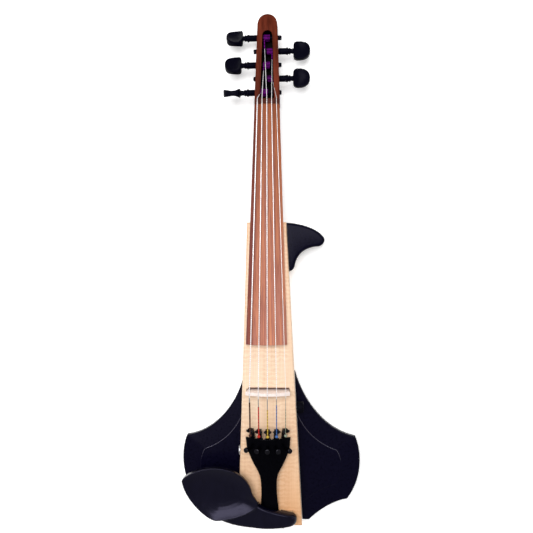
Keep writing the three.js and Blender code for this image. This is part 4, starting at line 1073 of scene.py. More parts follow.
@dataclass
class PlankBody(SubAssembly):
    """The maple plank, the black wings beside it and the hand stop."""

    top_end: float = 194.0
    tail_end: float = 152.6
    top_half: float = 22.6
    tail_half: float = 36.75
    top_shift: float = -1.2
    tail_shift: float = 1.65
    gap: float = 0.3
    wing_reach: float = 104.1
    treble_extra: float = 1.56
    wing_top: float = 17.6
    wing_length: float = 173.0
    wing_back: float = 3.5
    wing_plateau: float = 15.0
    wing_edge: float = 12.9
    wing_steps: int = 40
    wing_sharp_deg: float = 7.0
    inner_x: float = 8.0
    inner_steps: int = 24
    rounding: tuple[Pair, ...] = ((0.075, 0.0), (0.045, 0.25), (0.018, 0.8), (0.0, 1.8))
    border: tuple[float, ...] = (0.3, 0.6, 0.85, 0.952)
    brow: Pair = (0.99, 0.02)
    crease_step: float = 0.42
    bead: float = 0.45
    bead_sink: float = 0.1
    bead_clear: float = 1.0
    bead_start: Pair = (0.3, 0.25)
    bead_end: Pair = (0.12, 0.12)
    bead_steps: int = 28
    bead_points: int = 40
    bead_sides: int = 12
    horn_reach: float = 65.6
    horn_height: float = 58.0
    horn_top: float = 30.0
    horn_back: float = 14.0
    horn_round: float = 3.4
    horn_steps: int = 30
    round_steps: int = 6
    upper_bass: Curve = ((0.288, 0), (0.347, 0.194), (0.61, 0.404), (0.949, 0.428))
    upper_treble: Curve = ((0.288, -0.016), (0.37, 0.176), (0.60, 0.388), (0.949, 0.428))
    lower: tuple[Curve, ...] = (
        ((0.949, 0.428), (1.023, 0.535), (1.023, 0.714), (0.849, 0.851)),
        ((0.849, 0.851), (0.749, 0.859), (0.576, 0.905), (0.4265, 0.995)),
    )
    crease: tuple[Curve, ...] = (
        ((0.288, 0.229), (0.346, 0.379), (0.538, 0.478), (0.736, 0.516)),
        ((0.736, 0.516), (0.8, 0.564), (0.81, 0.682), (0.725, 0.742)),
        ((0.725, 0.742), (0.596, 0.761), (0.461, 0.807), (0.288, 0.899)),
    )
    horn_rows: tuple[Curve, ...] = (
        ((0.25, 0), (0.5, -0.004), (0.86, 0.09), (0.985, 0.3)),
        ((0.985, 0.3), (1.02, 0.37), (0.97, 0.46), (0.9, 0.475)),
        ((0.9, 0.475), (0.62, 0.49), (0.5, 0.66), (0.47, 0.87)),
        ((0.47, 0.87), (0.455, 0.93), (0.42, 0.99), (0.25, 1)),
    )

    solids: ClassVar[tuple[Dress, ...]] = (Dress("centre_block", "maple"),)

    def make(self) -> None:
        """Makes the wings and the hand stop."""
        self.wing(-1, "wing_bass")
        self.wing(1, "wing_treble")
        self.horn()

    def at(self, y: float, from_top: float, from_tail: float) -> float:
        """A size of the tapered plank at y, from its values at both ends."""
        return mix(from_top, from_tail, (self.top_end - y) / (self.top_end + self.tail_end))

    def centre(self, y: float) -> float:
        """The plank's centre line at y."""
        return self.at(y, self.top_shift, self.tail_shift)

    def half(self, y: float) -> float:
        """The plank's half width at y."""
        return self.at(y, self.top_half, self.tail_half)

    def wing_line(self, side: int, rows: Sequence[Curve], steps: int) -> list[Pair]:
        """Points along curves of a wing, at a distance from the plank's centre line."""
        reach = self.wing_reach + (self.treble_extra if side > 0 else 0.0)
        return outline_of(rows, steps, (0.0, self.wing_top), (reach, -self.wing_length))

    def wing_ring(self, side: int, share: float, z: float) -> Ring:
        """A ring between a wing's outline and its crease.

        Args:
            side: -1 for the bass wing, 1 for the treble wing.
            share: 0 on the outline, 1 on the crease.
            z: the ring's height.

        Returns:
            The ring's points.
        """
        upper = self.upper_treble if side > 0 else self.upper_bass
        outer = self.wing_line(side, (upper, *self.lower), self.wing_steps)
        inner = self.wing_line(side, self.crease, self.wing_steps)
        ring = [(mix(a[0], b[0], share), mix(a[1], b[1], share)) for a, b in zip(outer, inner)]
        tail, top = ring[-1][1], ring[0][1]
        steps = self.inner_steps
        ring += [(self.inner_x, mix(tail, top, k / steps)) for k in range(steps + 1)]
        return [
            Vector((self.centre(y) + side * max(x, self.half(y) + self.gap), y, z))
            for x, y in ring
        ]

    def wing(self, side: int, name: str) -> None:
        """A wing with rounded edges, a bevelled border and a crisp crease.

        Args:
            side: -1 for the bass wing, 1 for the treble wing.
            name: the wing's solid.
        """
        start, end = self.rounding[0][0], self.border[-1]
        lip = self.wing_plateau - self.crease_step
        levels = [(share, self.wing_back + rise) for share, rise in self.rounding]
        levels += [(share, self.wing_edge - rise) for share, rise in reversed(self.rounding)]
        levels += [
            (share, mix(self.wing_edge, lip, (share - start) / (end - start)))
            for share in self.border
        ]
        levels += [(self.brow[0], self.wing_plateau - self.brow[1]), (1.0, self.wing_plateau)]
        skin = lofted([self.wing_ring(side, share, z) for share, z in levels])
        self.piece(
            f"{name}_skin", skin, "satin_lacquer", "violin", Slot.LACQUER, (name,),
            sharp_deg=self.wing_sharp_deg,
        )
        self.crease_edge(side, name)

    def crease_edge(self, side: int, name: str) -> None:
        """A thin raised bead along the upper part of a wing's crease, in a lighter, glossier
        lacquer than the wing's: partly a real edge that catches the lamps, partly a painted
        highlight line.

        Args:
            side: -1 for the bass wing, 1 for the treble wing.
            name: the wing's solid.
        """
        line = self.wing_line(side, self.crease[:2], self.bead_steps)[:self.bead_points]
        path = [
            Vector((self.centre(y) + side * x, y, self.wing_plateau - self.bead_sink))
            for x, y in line if x > self.half(y) + self.bead_clear
        ]
        (start, grow), (end, shrink), last = self.bead_start, self.bead_end, len(path) - 1
        radii = [
            self.bead * min(1.0, start + grow * i, end + shrink * (last - i))
            for i in range(last + 1)
        ]
        skin = swept(path, radii, self.bead_sides)
        # The bead's lacquer paints a highlight line along the crease.
        self.piece(f"{name}_crease", skin, "burnished_lacquer", "violin", Slot.LACQUER)

    def horn(self) -> None:
        """The hand stop, rounded like a carved hook."""
        size = (self.horn_reach, -self.horn_height)
        outline = outline_of(self.horn_rows, self.horn_steps, (0.0, self.top_end), size)
        area = sum(a[0] * b[1] - b[0] * a[1] for a, b in zip(outline, outline[1:] + outline[:1]))
        turn = math.copysign(1.0, area)
        ends = [outline[0], *outline, outline[-1]]

        def ring(inset: float, z: float) -> Ring:
            """The outline moved in by a distance, kept outside the plank.

            Args:
                inset: the distance.
                z: the ring's height.

            Returns:
                The ring.
            """
            points = []
            for (x, y), (px, py), (nx, ny) in zip(outline, ends, ends[2:]):
                move = turn * inset / math.hypot(nx - px, ny - py)
                x, y = x - move * (ny - py), y + move * (nx - px)
                points.append(Vector((max(x, self.centre(y) + self.half(y) + self.gap), y, z)))
            return points

        levels = []
        for k in range(self.round_steps + 1):
            up, out = on_circle(self.horn_round, k / self.round_steps / 4)
            levels.append((self.horn_round - out, self.horn_round - up))
        rings = [ring(out, self.horn_back + up) for out, up in levels]
        rings += [ring(out, self.horn_top - up) for out, up in reversed(levels)]
        self.piece(
            "hand_stop_skin", lofted(rings), "satin_lacquer", "violin", Slot.LACQUER,
            ("hand_stop_horn",),
        )


# ---------------------------------------------------------------- neck, head and pegs


@dataclass
class NeckAndHead(SubAssembly):
    """The neck with its slotted head, the fingerboard and the nut."""

    solids: ClassVar[tuple[Dress, ...]] = (
        Dress("neck", "redwood", 0.5, 38.0),
        Dress("fingerboard", "board_wood", 0.4, 30.0),
        Dress("nut", "nut_wood", 0.15, 40.0),
    )


@dataclass
class Peg(SubAssembly):
    """One peg: tapered shaft, collar, waist and a dished thumb piece."""

    row: PegRow
    place: Vector
    thumb_length: float = 19.6
    thumb_radius: float = 10.9
    thumb_half: float = 3.05
    thumb_middle: float = 2.9
    foot_extra: float = 2.5
    foot_share: float = 0.38
    top_extra: float = 1.45
    dish: float = 0.40
    dish_edge: float = 0.88
    dish_power: float = 0.8
    cheek_at_nut: float = 14.4
    cheek_at_tip: float = 11.2
    cheek_gap: float = 0.35
    thumb_steps: int = 16
    sides: int = 32
    thumb_rows: tuple[Curve, ...] = (
        ((0.2, 0.0), (0.62, -0.015), (0.9, 0.0), (0.985, 0.22)),
        ((0.985, 0.22), (1.06, 0.56), (0.84, 1.0), (0, 1)),
    )
    thumb_rings: tuple[Pair, ...] = (
        (0.15, 1.0), (0.35, 1.0), (0.55, 1.0), (0.72, 1.0), (0.86, 1.0), (0.93, 0.97),
        (0.975, 0.86), (0.995, 0.66), (1.0, 0.45),
    )
    end: tuple[Pair, ...] = ((0, 0), (1.9, 0), (2.4, 0.35), (2.65, 1.0))
    shoulder: tuple[Pair, ...] = ((3.45, 0.02), (3.65, 0.35))
    waist: tuple[Pair, ...] = ((3.1, -0.4), (3.4, 0.2), (2.6, 5.4), (0, 5.5))
    collar: tuple[Pair, ...] = (
        (3.6, 21.4), (3.75, 21.7), (4.25, 22.1), (4.35, 22.8), (4.25, 23.5), (3.6, 23.9),
        (3.15, 24.4), (3.3, 25.0), (3.75, 25.4), (3.8, 25.9), (3.5, 26.4), (2.85, 27.0),
        (2.75, 28.0),
    )

    def half_thickness(self, along: float) -> float:
        """Half the rim's thickness at a share of the thumb piece's length."""
        foot = self.foot_extra * past(-along, -self.foot_share, self.foot_share) ** 2
        return self.thumb_half + foot + self.top_extra * smooth_step((along - 0.5) / 0.5)

    def thumb(self) -> Skin:
        """The thumb piece: a shield with a flat foot, dished on both faces, along Z.

        Returns:
            The points and the faces.
        """
        start = self.row.reach - self.thumb_length
        size = (self.thumb_radius, 1.0)
        right = outline_of(self.thumb_rows, self.thumb_steps, (0.0, 0.0), size)
        outline = right + [(-x, y) for x, y in right[-2::-1]]

        def ring(share: float, thick: float) -> Ring:
            """A ring on one face, at a share from the middle to the rim.

            Args:
                share: 0 in the middle, 1 at the rim.
                thick: a share of the half thickness, below 0 on the back.

            Returns:
                The ring.
            """
            points = []
            for x, y in outline:
                flat = mix(self.thumb_middle, self.half_thickness(y), share ** 2)
                hollow = max(0.0, 1 - (share / self.dish_edge) ** 2) ** self.dish_power
                out = flat * (1 - self.dish * hollow) * thick
                along = start + mix(0.5, y, share) * self.thumb_length
                points.append(Vector((x * share, out, along)))
            return points

        front = [ring(share, thick) for share, thick in self.thumb_rings]
        back = [ring(share, -thick) for share, thick in reversed(self.thumb_rings)]
        return lofted(front + back)

    def make(self) -> None:
        """Makes the peg in place of its solid."""
        start = self.row.reach - self.thumb_length
        along_head = LAYOUT.along_head(self.place.y)
        cheek = mix(self.cheek_at_nut, self.cheek_at_tip, along_head) + self.cheek_gap
        profile = (
            *raised(self.end, -LAYOUT.peg_tip), (LAYOUT.shaft(cheek), cheek),
            *raised(self.shoulder, cheek), *self.collar, *raised(self.waist, start),
        )
        spin = Matrix.Rotation(math.radians(self.row.turn_deg + 90), 4, "Z")
        lay = Matrix.Rotation(self.row.side * math.pi / 2, 4, "Y")
        lay = Matrix.Translation(self.place) @ lay @ spin
        points, faces = merged((turned(profile, self.sides, Matrix()), self.thumb()))
        name = f"peg_{self.row.string}"
        self.piece(
            f"{name}_turned", ([lay @ p for p in points], faces), "peg_ebony", f"{name}_body",
            Slot.EBONY, (name,), sharp_deg=50.0,
        )


# ---------------------------------------------------------------- strings, bridge and tailpiece


@dataclass
class StringSet(SubAssembly):
    """The five strings with their silks, from the tuners to the pegs."""

    nut_front: float = 328.0
    nut_top: float = 43.106
    bridge_top: float = 53.4
    crown: float = 42.0
    ball: float = 1.8
    ball_ahead: float = 2.3
    ball_depth: float = 0.9
    ball_shares: tuple[float, ...] = (-0.99, -0.9, -0.7, -0.4, 0.0, 0.4, 0.7, 0.86)
    silk_gain: float = 1.4
    peg_silk_gain: float = 1.02
    silk_start: float = 0.8
    silk_inset: float = 1.5
    behind_bridge: float = 2.6
    over_bridge: float = 1.3
    head_thin: Pair = (0.85, 0.6)
    sides: int = 14
    turns: float = 4.25
    turn_steps: int = 28
    turn_gap: float = 0.55
    shaft_gap: float = 0.3

    def make(self) -> None:
        """Makes each string as ball end, tail silk, metal and peg silk."""
        for index, row in enumerate(LAYOUT.strings):
            self.one(index, row)

    def coil(self, row: StringRow) -> list[Vector]:
        """The string's turns round its peg.

        Args:
            row: the string.

        Returns:
            The points of its middle line.
        """
        place, peg = next((i, p) for i, p in enumerate(LAYOUT.pegs) if p.string == row.name)
        axis = LAYOUT.peg_at(place)
        width = peg.side * self.turns * (2 * row.radius + self.turn_gap)
        count = round(self.turns * self.turn_steps)
        points = []
        for i in range(count + 1):
            x = peg.coil_at + width / 2 - width * i / count
            reach = LAYOUT.shaft(peg.side * x) + self.shaft_gap + row.radius
            up, along = on_circle(reach, i / self.turn_steps)
            points.append(Vector((x, axis.y + along, axis.z + up)))
        points.append(points[-1] + (points[-1] - points[-2]).normalized() * 2 * row.radius)
        return points

    def one(self, index: int, row: StringRow) -> None:
        """Makes one string.

        Args:
            index: its place, 0 on the bass side.
            row: what sets it apart.
        """
        step, r = LAYOUT.step(index), row.radius
        bridge_x, nut_x = step * LAYOUT.bridge_spacing, step * LAYOUT.nut_spacing
        at_ball = Vector((0, self.ball_ahead, LAYOUT.arch_radius - self.ball_depth))
        ball = LAYOUT.tuner_frame(index) @ at_ball
        bridge = Vector((bridge_x, 0, self.bridge_top - crown_drop(self.crown, bridge_x) + r))
        nut_z = self.nut_top - crown_drop(self.crown, nut_x) + r
        nut, nut_end = (Vector((nut_x, y, nut_z)) for y in (self.nut_front, LAYOUT.nut_back))
        pull = (bridge - ball).normalized()
        silk_end = ball + pull * ((row.silk_end - ball.y) / pull.y)
        coil = self.coil(row)
        silk_start = nut_end.lerp(coil[0], self.silk_start)
        ends = [ball + pull * self.ball * s for s in self.ball_shares]
        round_end = [self.ball * math.sqrt(1 - s * s) for s in self.ball_shares]
        tail = [ball + pull * self.silk_inset, silk_end]
        behind = bridge - pull * self.behind_bridge
        over = Vector((bridge.x, self.over_bridge, bridge.z))
        wire = [silk_end, behind, over, nut, nut_end, silk_start]
        thick = [r, r, r, r, *(share * r for share in self.head_thin)]
        metal = "plain_string" if row.name == "e" else "wound_string"
        winds = [silk_start] + coil
        name = f"string_{row.name}"
        for part, path, radii, sides, finish, replaced in (
            ("ball", ends, round_end, self.sides + 2, row.silk, (name,)),
            ("tail_silk", tail, [r * self.silk_gain] * 2, self.sides, row.silk, ()),
            ("wire", wire, thick, self.sides, metal, ()),
            ("peg_silk", winds, [r * self.peg_silk_gain] * len(winds), self.sides - 2,
             "silk_purple", ()),
        ):
            skin = swept(path, radii, sides)
            self.piece(f"{name}_{part}", skin, finish, "violin", Slot.WIRE, replaced)


@dataclass
class BridgeAndTail(SubAssembly):
    """The bridge, the tailpiece with its tuners, the tailgut, saddle and button."""

    length: float = 87.0
    end_crown: float = 8.4
    end_radius: float = 15.0
    drift: float = 1.65
    wall: float = 2.0
    across: int = 36
    rows: int = 70
    edge_share: float = 0.93
    edge_drop: float = 0.8
    front_hollow: float = 0.9
    hollow_share: float = 0.04
    cap_share: float = 0.003
    cap_inset: float = 0.9
    cap_fall: float = 0.35
    cap_thin: float = 0.7
    edge_thin: float = 8.0
    half_widths: tuple[Pair, ...] = (
        (-0.02, 25.3), (0.0, 25.3), (0.07, 24.9), (0.13, 24.4), (0.18, 23.3), (0.23, 21.4),
        (0.30, 18.7), (0.36, 15.9), (0.41, 13.3), (0.455, 11.2), (0.50, 9.8), (0.56, 9.1),
        (0.63, 8.8), (0.70, 8.8), (0.77, 9.1), (0.85, 9.7), (1.0, 10.5), (1.02, 10.6),
    )
    prong: tuple[tuple[float, float, float, float], ...] = (
        (2.0, 7.0, 41.4, 0.9), (2.15, 7.3, 42.6, 1.15), (2.45, 7.6, 43.7, 1.35),
        (2.85, 7.9, 44.6, 1.5), (3.2, 8.1, 45.2, 1.35), (3.45, 8.2, 45.6, 0.95),
        (3.6, 8.25, 45.8, 0.4),
    )
    prong_sides: int = 14
    screw_back: float = 12.0
    screw_foot: float = -6.3
    screw_collar: float = 0.3
    screw_neck: float = 2.0
    screw_shaft: float = 1.25
    screw_waist: float = 1.9
    screw_sides: int = 18
    screw_flutes: int = 26
    screw_head: tuple[Triple, ...] = (
        (2.2, -0.25, 0), (2.72, 0.2, 0.05), (2.9, 0.7, 0.22), (2.9, 4.5, 0.22),
        (2.72, 5.05, 0.05), (2.3, 5.36, 0), (1.6, 5.4, 0), (1.45, 5.15, 0),
    )

    solids: ClassVar[tuple[Dress, ...]] = (
        Dress("bridge", "bone", 0.25, 40.0), Dress("bridge_pickup", "pickup_black", 0.1),
        Dress("tailgut", "black_plastic"), Dress("end_button", "ebony", 0.3, 50.0),
        Dress("end_saddle", "ebony", 0.4),
        *(Dress(f"tuner_lever_{row.name}", "black_metal", 0.25, 34.0)
          for row in LAYOUT.strings),
    )

    def make(self) -> None:
        """Makes the tailpiece, the levers' prongs and the screws."""
        self.tailpiece()
        for index, row in enumerate(LAYOUT.strings):
            self.prongs(index, row)
            self.screw(index, row)

    def prongs(self, index: int, row: StringRow) -> None:
        """The rounded, outward bent tips of a lever's fork.

        Args:
            index: the string's place, 0 on the bass side.
            row: what sets it apart.
        """
        lay = LAYOUT.tuner_frame(index)
        radii = [radius for *_, radius in self.prong]
        forms = []
        for side in (-1, 1):
            path = [lay @ Vector((side * x, y, z)) for x, y, z, _ in self.prong]
            forms.append(swept(path, radii, self.prong_sides))
        self.piece(
            f"tuner_prongs_{row.name}", merged(forms), "black_metal",
            f"tuner_lever_{row.name}_body", Slot.BLACK_METAL,
        )

    def tailpiece_ring(self, share: float, inset: float) -> Ring:
        """A ring round the tailpiece's shell.

        Args:
            share: how far along the tailpiece, 0 at the tuners.
            inset: how far the ring is drawn in, at the rounded ends.

        Returns:
            The ring's points, along the top and back underneath.
        """
        inside = min(max(share, 0.0), 1.0)
        half = smooth_through(self.half_widths, inside) - inset
        crown = TOP + mix(LAYOUT.tail_crown, self.end_crown, inside)
        crown -= inset * self.cap_fall
        radius = mix(LAYOUT.arch_radius, self.end_radius, inside)
        hollow = self.front_hollow * past(-inside, -self.hollow_share, self.hollow_share)
        top, under = [], []
        for i in range(self.across + 1):
            x = half * math.sin(math.pi * (i / self.across - 0.5))
            y = -LAYOUT.tail_front - share * self.length - hollow * (1 - (x / half) ** 2)
            edge = self.edge_drop * past(abs(x) / half, self.edge_share, 1 - self.edge_share) ** 2
            point = Vector((x + self.drift * share, y, crown - crown_drop(radius, x) - edge))
            thin = self.edge_thin * past(abs(point.x) / half, self.edge_share, 1.0)
            top.append(point)
            under.append(point - Vector((0, 0, self.wall - inset * self.cap_thin - thin)))
        return top + under[::-1]

    def tailpiece(self) -> None:
        """The tailpiece: an arched shell with rounded edges, flared out to its tuners."""
        rings = [self.tailpiece_ring(k / self.rows, 0.0) for k in range(self.rows + 1)]
        first = self.tailpiece_ring(-self.cap_share, self.cap_inset)
        last = self.tailpiece_ring(1 + self.cap_share, self.cap_inset)
        self.piece(
            "tailpiece_shell", lofted([first, *rings, last]), "tailpiece_black", "violin",
            Slot.TAILPIECE, ("tailpiece",),
        )

    def screw(self, index: int, row: StringRow) -> None:
        """A tuner screw with a finely fluted head.

        Args:
            index: the string's place, 0 on the bass side.
            row: what sets it apart.
        """
        place = LAYOUT.tuner_frame(index) @ Matrix.Translation((0, -self.screw_back, 0))
        foot = LAYOUT.arch_radius + self.screw_foot
        collar = LAYOUT.arch_radius + self.screw_collar
        base = collar + self.screw_neck + row.screw_raise
        shaft, waist = self.screw_shaft, self.screw_waist
        stem = (
            (0, foot), (shaft, foot), (shaft, collar), (waist, collar), (waist, base),
            (0, base + 0.1),
        )
        rings = [
            [place @ Vector((x, y, base + up)) for x, y in fluted(size, depth, self.screw_flutes)]
            for size, up, depth in self.screw_head
        ]
        skin = merged((turned(stem, self.screw_sides, place), lofted(rings)))
        name = f"tuner_screw_{row.name}"
        self.piece(
            f"{name}_turned", skin, "black_metal", f"{name}_body", Slot.BLACK_METAL, (name,),
            sharp_deg=40.0,
        )


@dataclass
class ChinRest(SubAssembly):
    """The carved chin rest with its cork pads and its clamp."""

    cup_at: Pair = (-53.0, -113.0)
    cup_half: Pair = (42.6, 29.0)
    arm_at: Pair = (-12.0, -140.0)
    arm_half: Pair = (44.6, 13.6)
    rim: float = 17.5
    outer_rise: float = 3.5
    floor: float = 9.0
    keel: float = 4.5
    dish: float = 6.3
    dish_share: float = 0.965
    dish_power: float = 2.5
    lip: float = 0.3
    corner: float = 1.3
    corner_share: float = 0.985
    keel_round: float = 2.0
    keel_share: float = 0.9
    arm_top: float = 15.3
    arm_root: float = 12.8
    arm_fall: float = 0.12
    arm_edge: float = 8.5
    arm_rise: Pair = (-62.0, 26.0)
    arm_slope: Pair = (-22.0, 22.0)
    arm_power: int = 16
    foot: float = 3.2
    foot_round: float = 1.2
    foot_share: float = 0.97
    outline_steps: int = 24
    arch_steps: int = 12
    voxel: float = 0.45
    smoothing: int = 6
    sharp_deg: float = 50.0
    tunnel_half: float = 12.4
    tunnel_middle: float = 2.0
    tunnel_foot: float = -5.0
    tunnel_wall: float = 6.0
    tunnel_roof: float = 11.0
    tunnel_ends: Pair = (-175.0, -113.0)
    cup_shares: tuple[float, ...] = (
        0.06, 0.2, 0.35, 0.5, 0.64, 0.76, 0.84, 0.9, 0.94, 0.965, 0.985, 0.994, 1.0,
    )
    arm_shares: tuple[float, ...] = (
        0.05, 0.2, 0.4, 0.58, 0.7, 0.78, 0.84, 0.89, 0.93, 0.96, 0.985, 1.0,
    )
    cup_rows: tuple[Curve, ...] = (
        ((-1.03, 0.55), (-1, 0.72), (-0.62, 1.05), (-0.17, 1.05)),
        ((-0.17, 1.05), (0.3, 1.05), (0.74, 0.72), (0.83, 0.07)),
        ((0.83, 0.07), (0.88, -0.16), (1.03, -0.3), (0.97, -0.44)),
        ((0.97, -0.44), (0.93, -0.62), (0.42, -0.98), (-0.127, -0.99)),
        ((-0.127, -0.99), (-0.38, -0.95), (-0.95, -0.16), (-1.03, 0.55)),
    )
    arm_rows: tuple[Curve, ...] = (
        ((-1.08, -0.1), (-0.9, 0.9), (-0.28, 1.2), (0.02, 1.2)),
        ((0.02, 1.2), (0.24, 0.8), (0.6, 0.55), (0.88, 0.36)),
        ((0.88, 0.36), (1.03, 0.26), (1.05, -0.42), (0.88, -0.66)),
        ((0.88, -0.66), (0.6, -0.93), (0.1, -0.95), (-0.14, -0.86)),
        ((-0.14, -0.86), (-0.5, -0.78), (-0.85, -0.53), (-1.08, -0.1)),
    )

    solids: ClassVar[tuple[Dress, ...]] = (
        *(Dress(f"clamp_{part}", "black_metal", 0.2)
          for part in ("lug_bass", "lug_treble", "barrel_bass", "barrel_treble", "foot")),
        *(Dress(part, "cork", 0.2)
          for part in ("chinrest_pad_bass", "chinrest_pad_treble", "clamp_foot_pad")),
    )

    def cup_above(self, x: float, _y: float, share: float) -> float:
        """The height of the dished top with its rounded rim, higher at the outer end.

        Args:
            x: across the violin.
            _y: not used.
            share: the ring's share.

        Returns:
            The height.
        """
        rise = self.outer_rise * (x - self.cup_at[0]) / (2 * self.cup_half[0])
        lip = self.lip * past(share, self.dish_share, 1 - self.dish_share)
        corner = self.corner * past(share, self.corner_share, 1 - self.corner_share) ** 2
        dip = self.dish * max(0.0, 1 - (share / self.dish_share) ** self.dish_power)
        return TOP + self.rim - rise - dip - lip - corner

    def cup_below(self, _x: float, _y: float, share: float) -> float:
        """The height of the keel-like back."""
        rounding = self.keel_round * past(share, self.keel_share, 1 - self.keel_share) ** 2
        return TOP + mix(self.keel, self.floor, share ** 2) + rounding

    def arm_above(self, x: float, y: float, share: float) -> float:
        """The height of the arm's top, which falls tailward and runs out below the dish.

        Args:
            x: across the violin.
            y: along the strings.
            share: the ring's share.

        Returns:
            The height.
        """
        rise, slope = (smooth_step(past(x, *span)) for span in (self.arm_rise, self.arm_slope))
        crown = mix(self.arm_root, self.arm_top, slope)
        crown += self.arm_fall * (y - self.arm_at[1])
        return TOP + mix(self.arm_edge, crown, rise * (1 - share ** self.arm_power))

    def arm_below(self, _x: float, _y: float, share: float) -> float:
        """The height of the arm's flat underside."""
        return TOP + self.foot + (self.foot_round if share > self.foot_share else 0.0)

    def pillow(
        self, rows: Sequence[Curve], centre: Pair, half: Pair, shares: Sequence[float],
        above: Callable[[float, float, float], float],
        below: Callable[[float, float, float], float],
    ) -> Skin:
        """A rounded body over an outline.

        Args:
            rows: the outline's curves, as shares.
            centre: where its rings shrink to.
            half: its half length and half width.
            shares: the rings, from the middle to the rim.
            above: the top's height at x, y and a ring's share.
            below: the underside's height there.

        Returns:
            The points and the faces.
        """
        outline = outline_of(rows, self.outline_steps, centre, half, closed=True)
        levels = [(share, below) for share in shares]
        levels += [(share, above) for share in reversed(shares[:-1])]
        rings = []
        for share, height in levels:
            flat = [(mix(centre[0], x, share), mix(centre[1], y, share)) for x, y in outline]
            rings.append([Vector((x, y, height(x, y, share))) for x, y in flat])
        return lofted(rings)

    def make(self) -> None:
        """Joins cup and arm, and cuts the way of the tailpiece."""
        cup = self.pillow(
            self.cup_rows, self.cup_at, self.cup_half, self.cup_shares, self.cup_above,
            self.cup_below,
        )
        arm = self.pillow(
            self.arm_rows, self.arm_at, self.arm_half, self.arm_shares, self.arm_above,
            self.arm_below,
        )
        rest = make_piece("chinrest_carved", merged((cup, arm)), self.finishes["ebony"], 180)
        voxel = self.voxel * MM
        add_modifier(rest, "REMESH", mode="VOXEL", voxel_size=voxel, use_smooth_shade=True)
        add_modifier(rest, "SMOOTH", factor=0.5, iterations=self.smoothing)
        apply_modifiers(rest)
        cutter = self.tunnel()
        add_modifier(rest, "BOOLEAN", operation="DIFFERENCE", object=cutter, solver="EXACT")
        apply_modifiers(rest)
        bpy.data.objects.remove(cutter)
        rest.data.shade_smooth()
        rest.data.set_sharp_from_angle(angle=math.radians(self.sharp_deg))
        self.adopt(rest, "violin", Slot.EBONY, ("chinrest",))

    def tunnel(self) -> bpy.types.Object:
        """The space that the tailpiece passes through, as a cutter.

        Returns:
            The cutter.
        """
        foot, wall = TOP + self.tunnel_foot, TOP + self.tunnel_wall
        rise, steps = self.tunnel_roof - self.tunnel_wall, self.arch_steps
        arch = [on_circle(1.0, k / steps / 2) for k in range(steps, -1, -1)]
        section = [(-1.0, foot), *((a, wall + rise * b) for a, b in arch), (1.0, foot)]
        rings = [
            [Vector((self.tunnel_middle + a * self.tunnel_half, y, z)) for a, z in section]
            for y in self.tunnel_ends
        ]
        return make_piece("tunnel_cutter", lofted(rings), self.finishes["ebony"])


@dataclass
class Electrics(SubAssembly):
    """The volume knob, the pot, the jack, the cover and what is behind it."""

    flutes: int = 28
    bore: float = 3.0
    rows: tuple[Triple, ...] = (
        (6.2, 0.0, 0), (6.55, 0.3, 0.1), (6.65, 1.2, 0.3), (6.6, -1.4, 0.3), (6.3, -0.5, 0.1),
        (5.8, -0.08, 0), (5.2, 0, 0), (4.6, -0.12, 0), (1.0, -0.45, 0),
    )
    rows_at_start: int = 3

    solids: ClassVar[tuple[Dress, ...]] = (
        Dress("volume_pot", "steel", 0.1), Dress("output_jack", "steel", 0.15, 50.0),
        Dress("cavity_cover", "black_plastic", 0.2),
        *(Dress(f"cover_screw_{k}", "black_metal", 0.1) for k in (1, 2, 3, 4)),
        Dress("pickup_lead", "black_plastic"), Dress("jack_lead", "black_plastic"),
    )

    def make(self) -> None:
        """Makes the knob with fine flutes, a dished face and a bore for the pot's shaft."""
        low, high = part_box("volume_knob")
        start, end = low.x / MM, high.x / MM
        y0, z0 = (low.y + high.y) / 2 / MM, (low.z + high.z) / 2 / MM
        levels = [(self.bore, end - self.bore, 0), (self.bore, start, 0)]
        levels += [(size, start + out, cut) for size, out, cut in self.rows[:self.rows_at_start]]
        levels += [(size, end + out, cut) for size, out, cut in self.rows[self.rows_at_start:]]
        rings = [
            [Vector((x, y0 + a, z0 + b)) for a, b in fluted(size, cut, self.flutes)]
            for size, x, cut in levels
        ]
        self.piece(
            "volume_knob_fluted", lofted(rings), "black_plastic", "volume_knob_body",
            Slot.PLASTIC, ("volume_knob",), sharp_deg=35.0,
        )


# ---------------------------------------------------------------- the studio


@dataclass(frozen=True)
class Lamp:
    """One soft lamp: where it stands, what it faces, its size and its power in watts."""

    name: str
    at: Triple
    aim: Triple
    size: Pair
    power: float


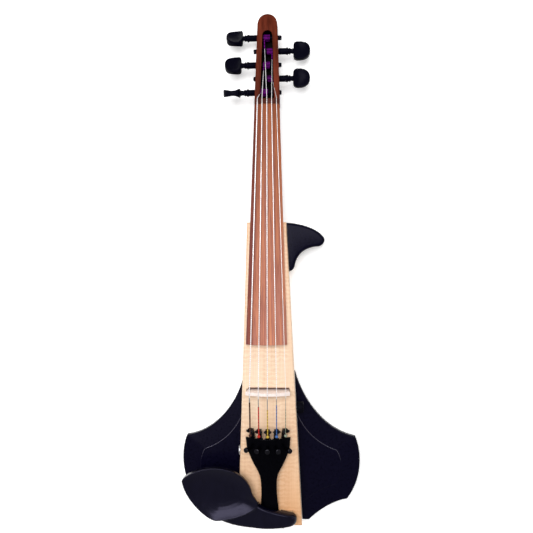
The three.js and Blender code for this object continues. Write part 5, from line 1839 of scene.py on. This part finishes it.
@dataclass
class Studio:
    """The pale floor, the soft light and the camera at the photograph's angle."""

    camera_at: Triple = (33.3, 140.4, 715.0)
    camera_turn_deg: Triple = (0.23, 2.92, -0.19)
    focal_px: float = 594.9
    image_px: float = 533.0
    sensor: float = 36.0
    clip: Pair = (0.01, 20.0)
    floor_half: float = 6000.0
    floor_top: float = -0.4
    floor_low: Triple = (0.985, 0.985, 0.985)
    floor_grain: Grain = Grain(WHITE, 40.0)
    floor_span: Pair = (0.3, 0.7)
    floor_roughness: float = 0.9
    floor_specular: float = 0.1
    floor_glow: float = 0.35
    world_seen: float = 0.4
    world_light: float = 0.33
    lamps: tuple[Lamp, ...] = (
        Lamp("key_light", (-150, 450, 1500), (-80, 300, 0), (1280, 760), 22.5),
        Lamp("left_light", (-1500, 400, 900), (0, 50, 0), (500, 500), 2.0),
        Lamp("right_light", (1500, 150, 900), (0, 50, 0), (500, 500), 1.5),
    )

    def build(self) -> None:
        """Makes floor, lights, world and camera."""
        self.floor()
        for lamp in self.lamps:
            self.light(lamp)
        self.world()
        self.camera()

    def camera(self) -> None:
        """Places the camera that was fitted to the photograph."""
        data = bpy.data.cameras.new("camera")
        data.sensor_width = self.sensor
        data.sensor_fit = "HORIZONTAL"
        data.lens = self.focal_px * self.sensor / self.image_px
        data.clip_start, data.clip_end = self.clip
        camera = linked("camera", data)
        camera.location = [v * MM for v in self.camera_at]
        camera.rotation_euler = [math.radians(v) for v in self.camera_turn_deg]
        bpy.context.scene.camera = camera

    def floor(self) -> None:
        """A wide pale floor right under the violin's back."""
        half = self.floor_half
        corners = [
            Vector((x * half, y * half, self.floor_top)) * MM
            for x, y in ((-1, -1), (1, -1), (1, 1), (-1, 1))
        ]
        mesh = bpy.data.meshes.new("floor")
        mesh.from_pydata(corners, [], [[0, 1, 2, 3]])
        floor = linked("floor", mesh)
        n = Nodes("floor_paper")
        stops = tuple(zip(self.floor_span, (self.floor_low, WHITE)))
        paper = n.ramp(n.noise(self.floor_grain), stops)
        n.set(Base_Color=paper, Roughness=self.floor_roughness)
        n.set(Specular_IOR_Level=self.floor_specular)
        strength = n.seen_strength(self.floor_glow, 0.0)
        glow = n.add("Emission", {"Color": WHITE, "Strength": strength})
        both = n.add("AddShader", {0: n.shader.outputs[0], 1: glow.outputs[0]})
        n.feed(n.output.inputs[0], both.outputs[0])
        mesh.materials.append(n.material)

    def light(self, lamp: Lamp) -> None:
        """Hangs a lamp.

        Args:
            lamp: the lamp.
        """
        data = bpy.data.lights.new(lamp.name, "AREA")
        data.shape = "RECTANGLE"
        data.size, data.size_y = (v * MM for v in lamp.size)
        data.energy = lamp.power
        light = linked(lamp.name, data)
        light.location = [v * MM for v in lamp.at]
        way = Vector(lamp.aim) - Vector(lamp.at)
        light.rotation_euler = way.to_track_quat("-Z", "Y").to_euler()

    def world(self) -> None:
        """A plain pale world."""
        world = bpy.data.worlds.new("world")
        world.use_nodes = True
        tree = Tree(world.node_tree)
        background = world.node_tree.nodes["Background"]
        tree.feed(background.inputs["Color"], WHITE)
        strength = tree.seen_strength(self.world_seen, self.world_light)
        tree.feed(background.inputs["Strength"], strength)
        bpy.context.scene.world = world
        bpy.context.scene.view_settings.view_transform = "Standard"


def main() -> None:
    """Builds the violin's looks around its solids."""
    logging.basicConfig(level=logging.INFO, format="%(name)s: %(message)s")
    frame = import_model()
    finishes = Finishes()
    Studio().build()
    pegs = [
        Peg(frame, finishes, row, LAYOUT.peg_at(index)) for index, row in enumerate(LAYOUT.pegs)
    ]
    assemblies: list[SubAssembly] = [
        PlankBody(frame, finishes), NeckAndHead(frame, finishes), *pegs,
        StringSet(frame, finishes), BridgeAndTail(frame, finishes), ChinRest(frame, finishes),
        Electrics(frame, finishes),
    ]
    for assembly in assemblies:
        assembly.build()


if __name__ == "__main__":
    main()
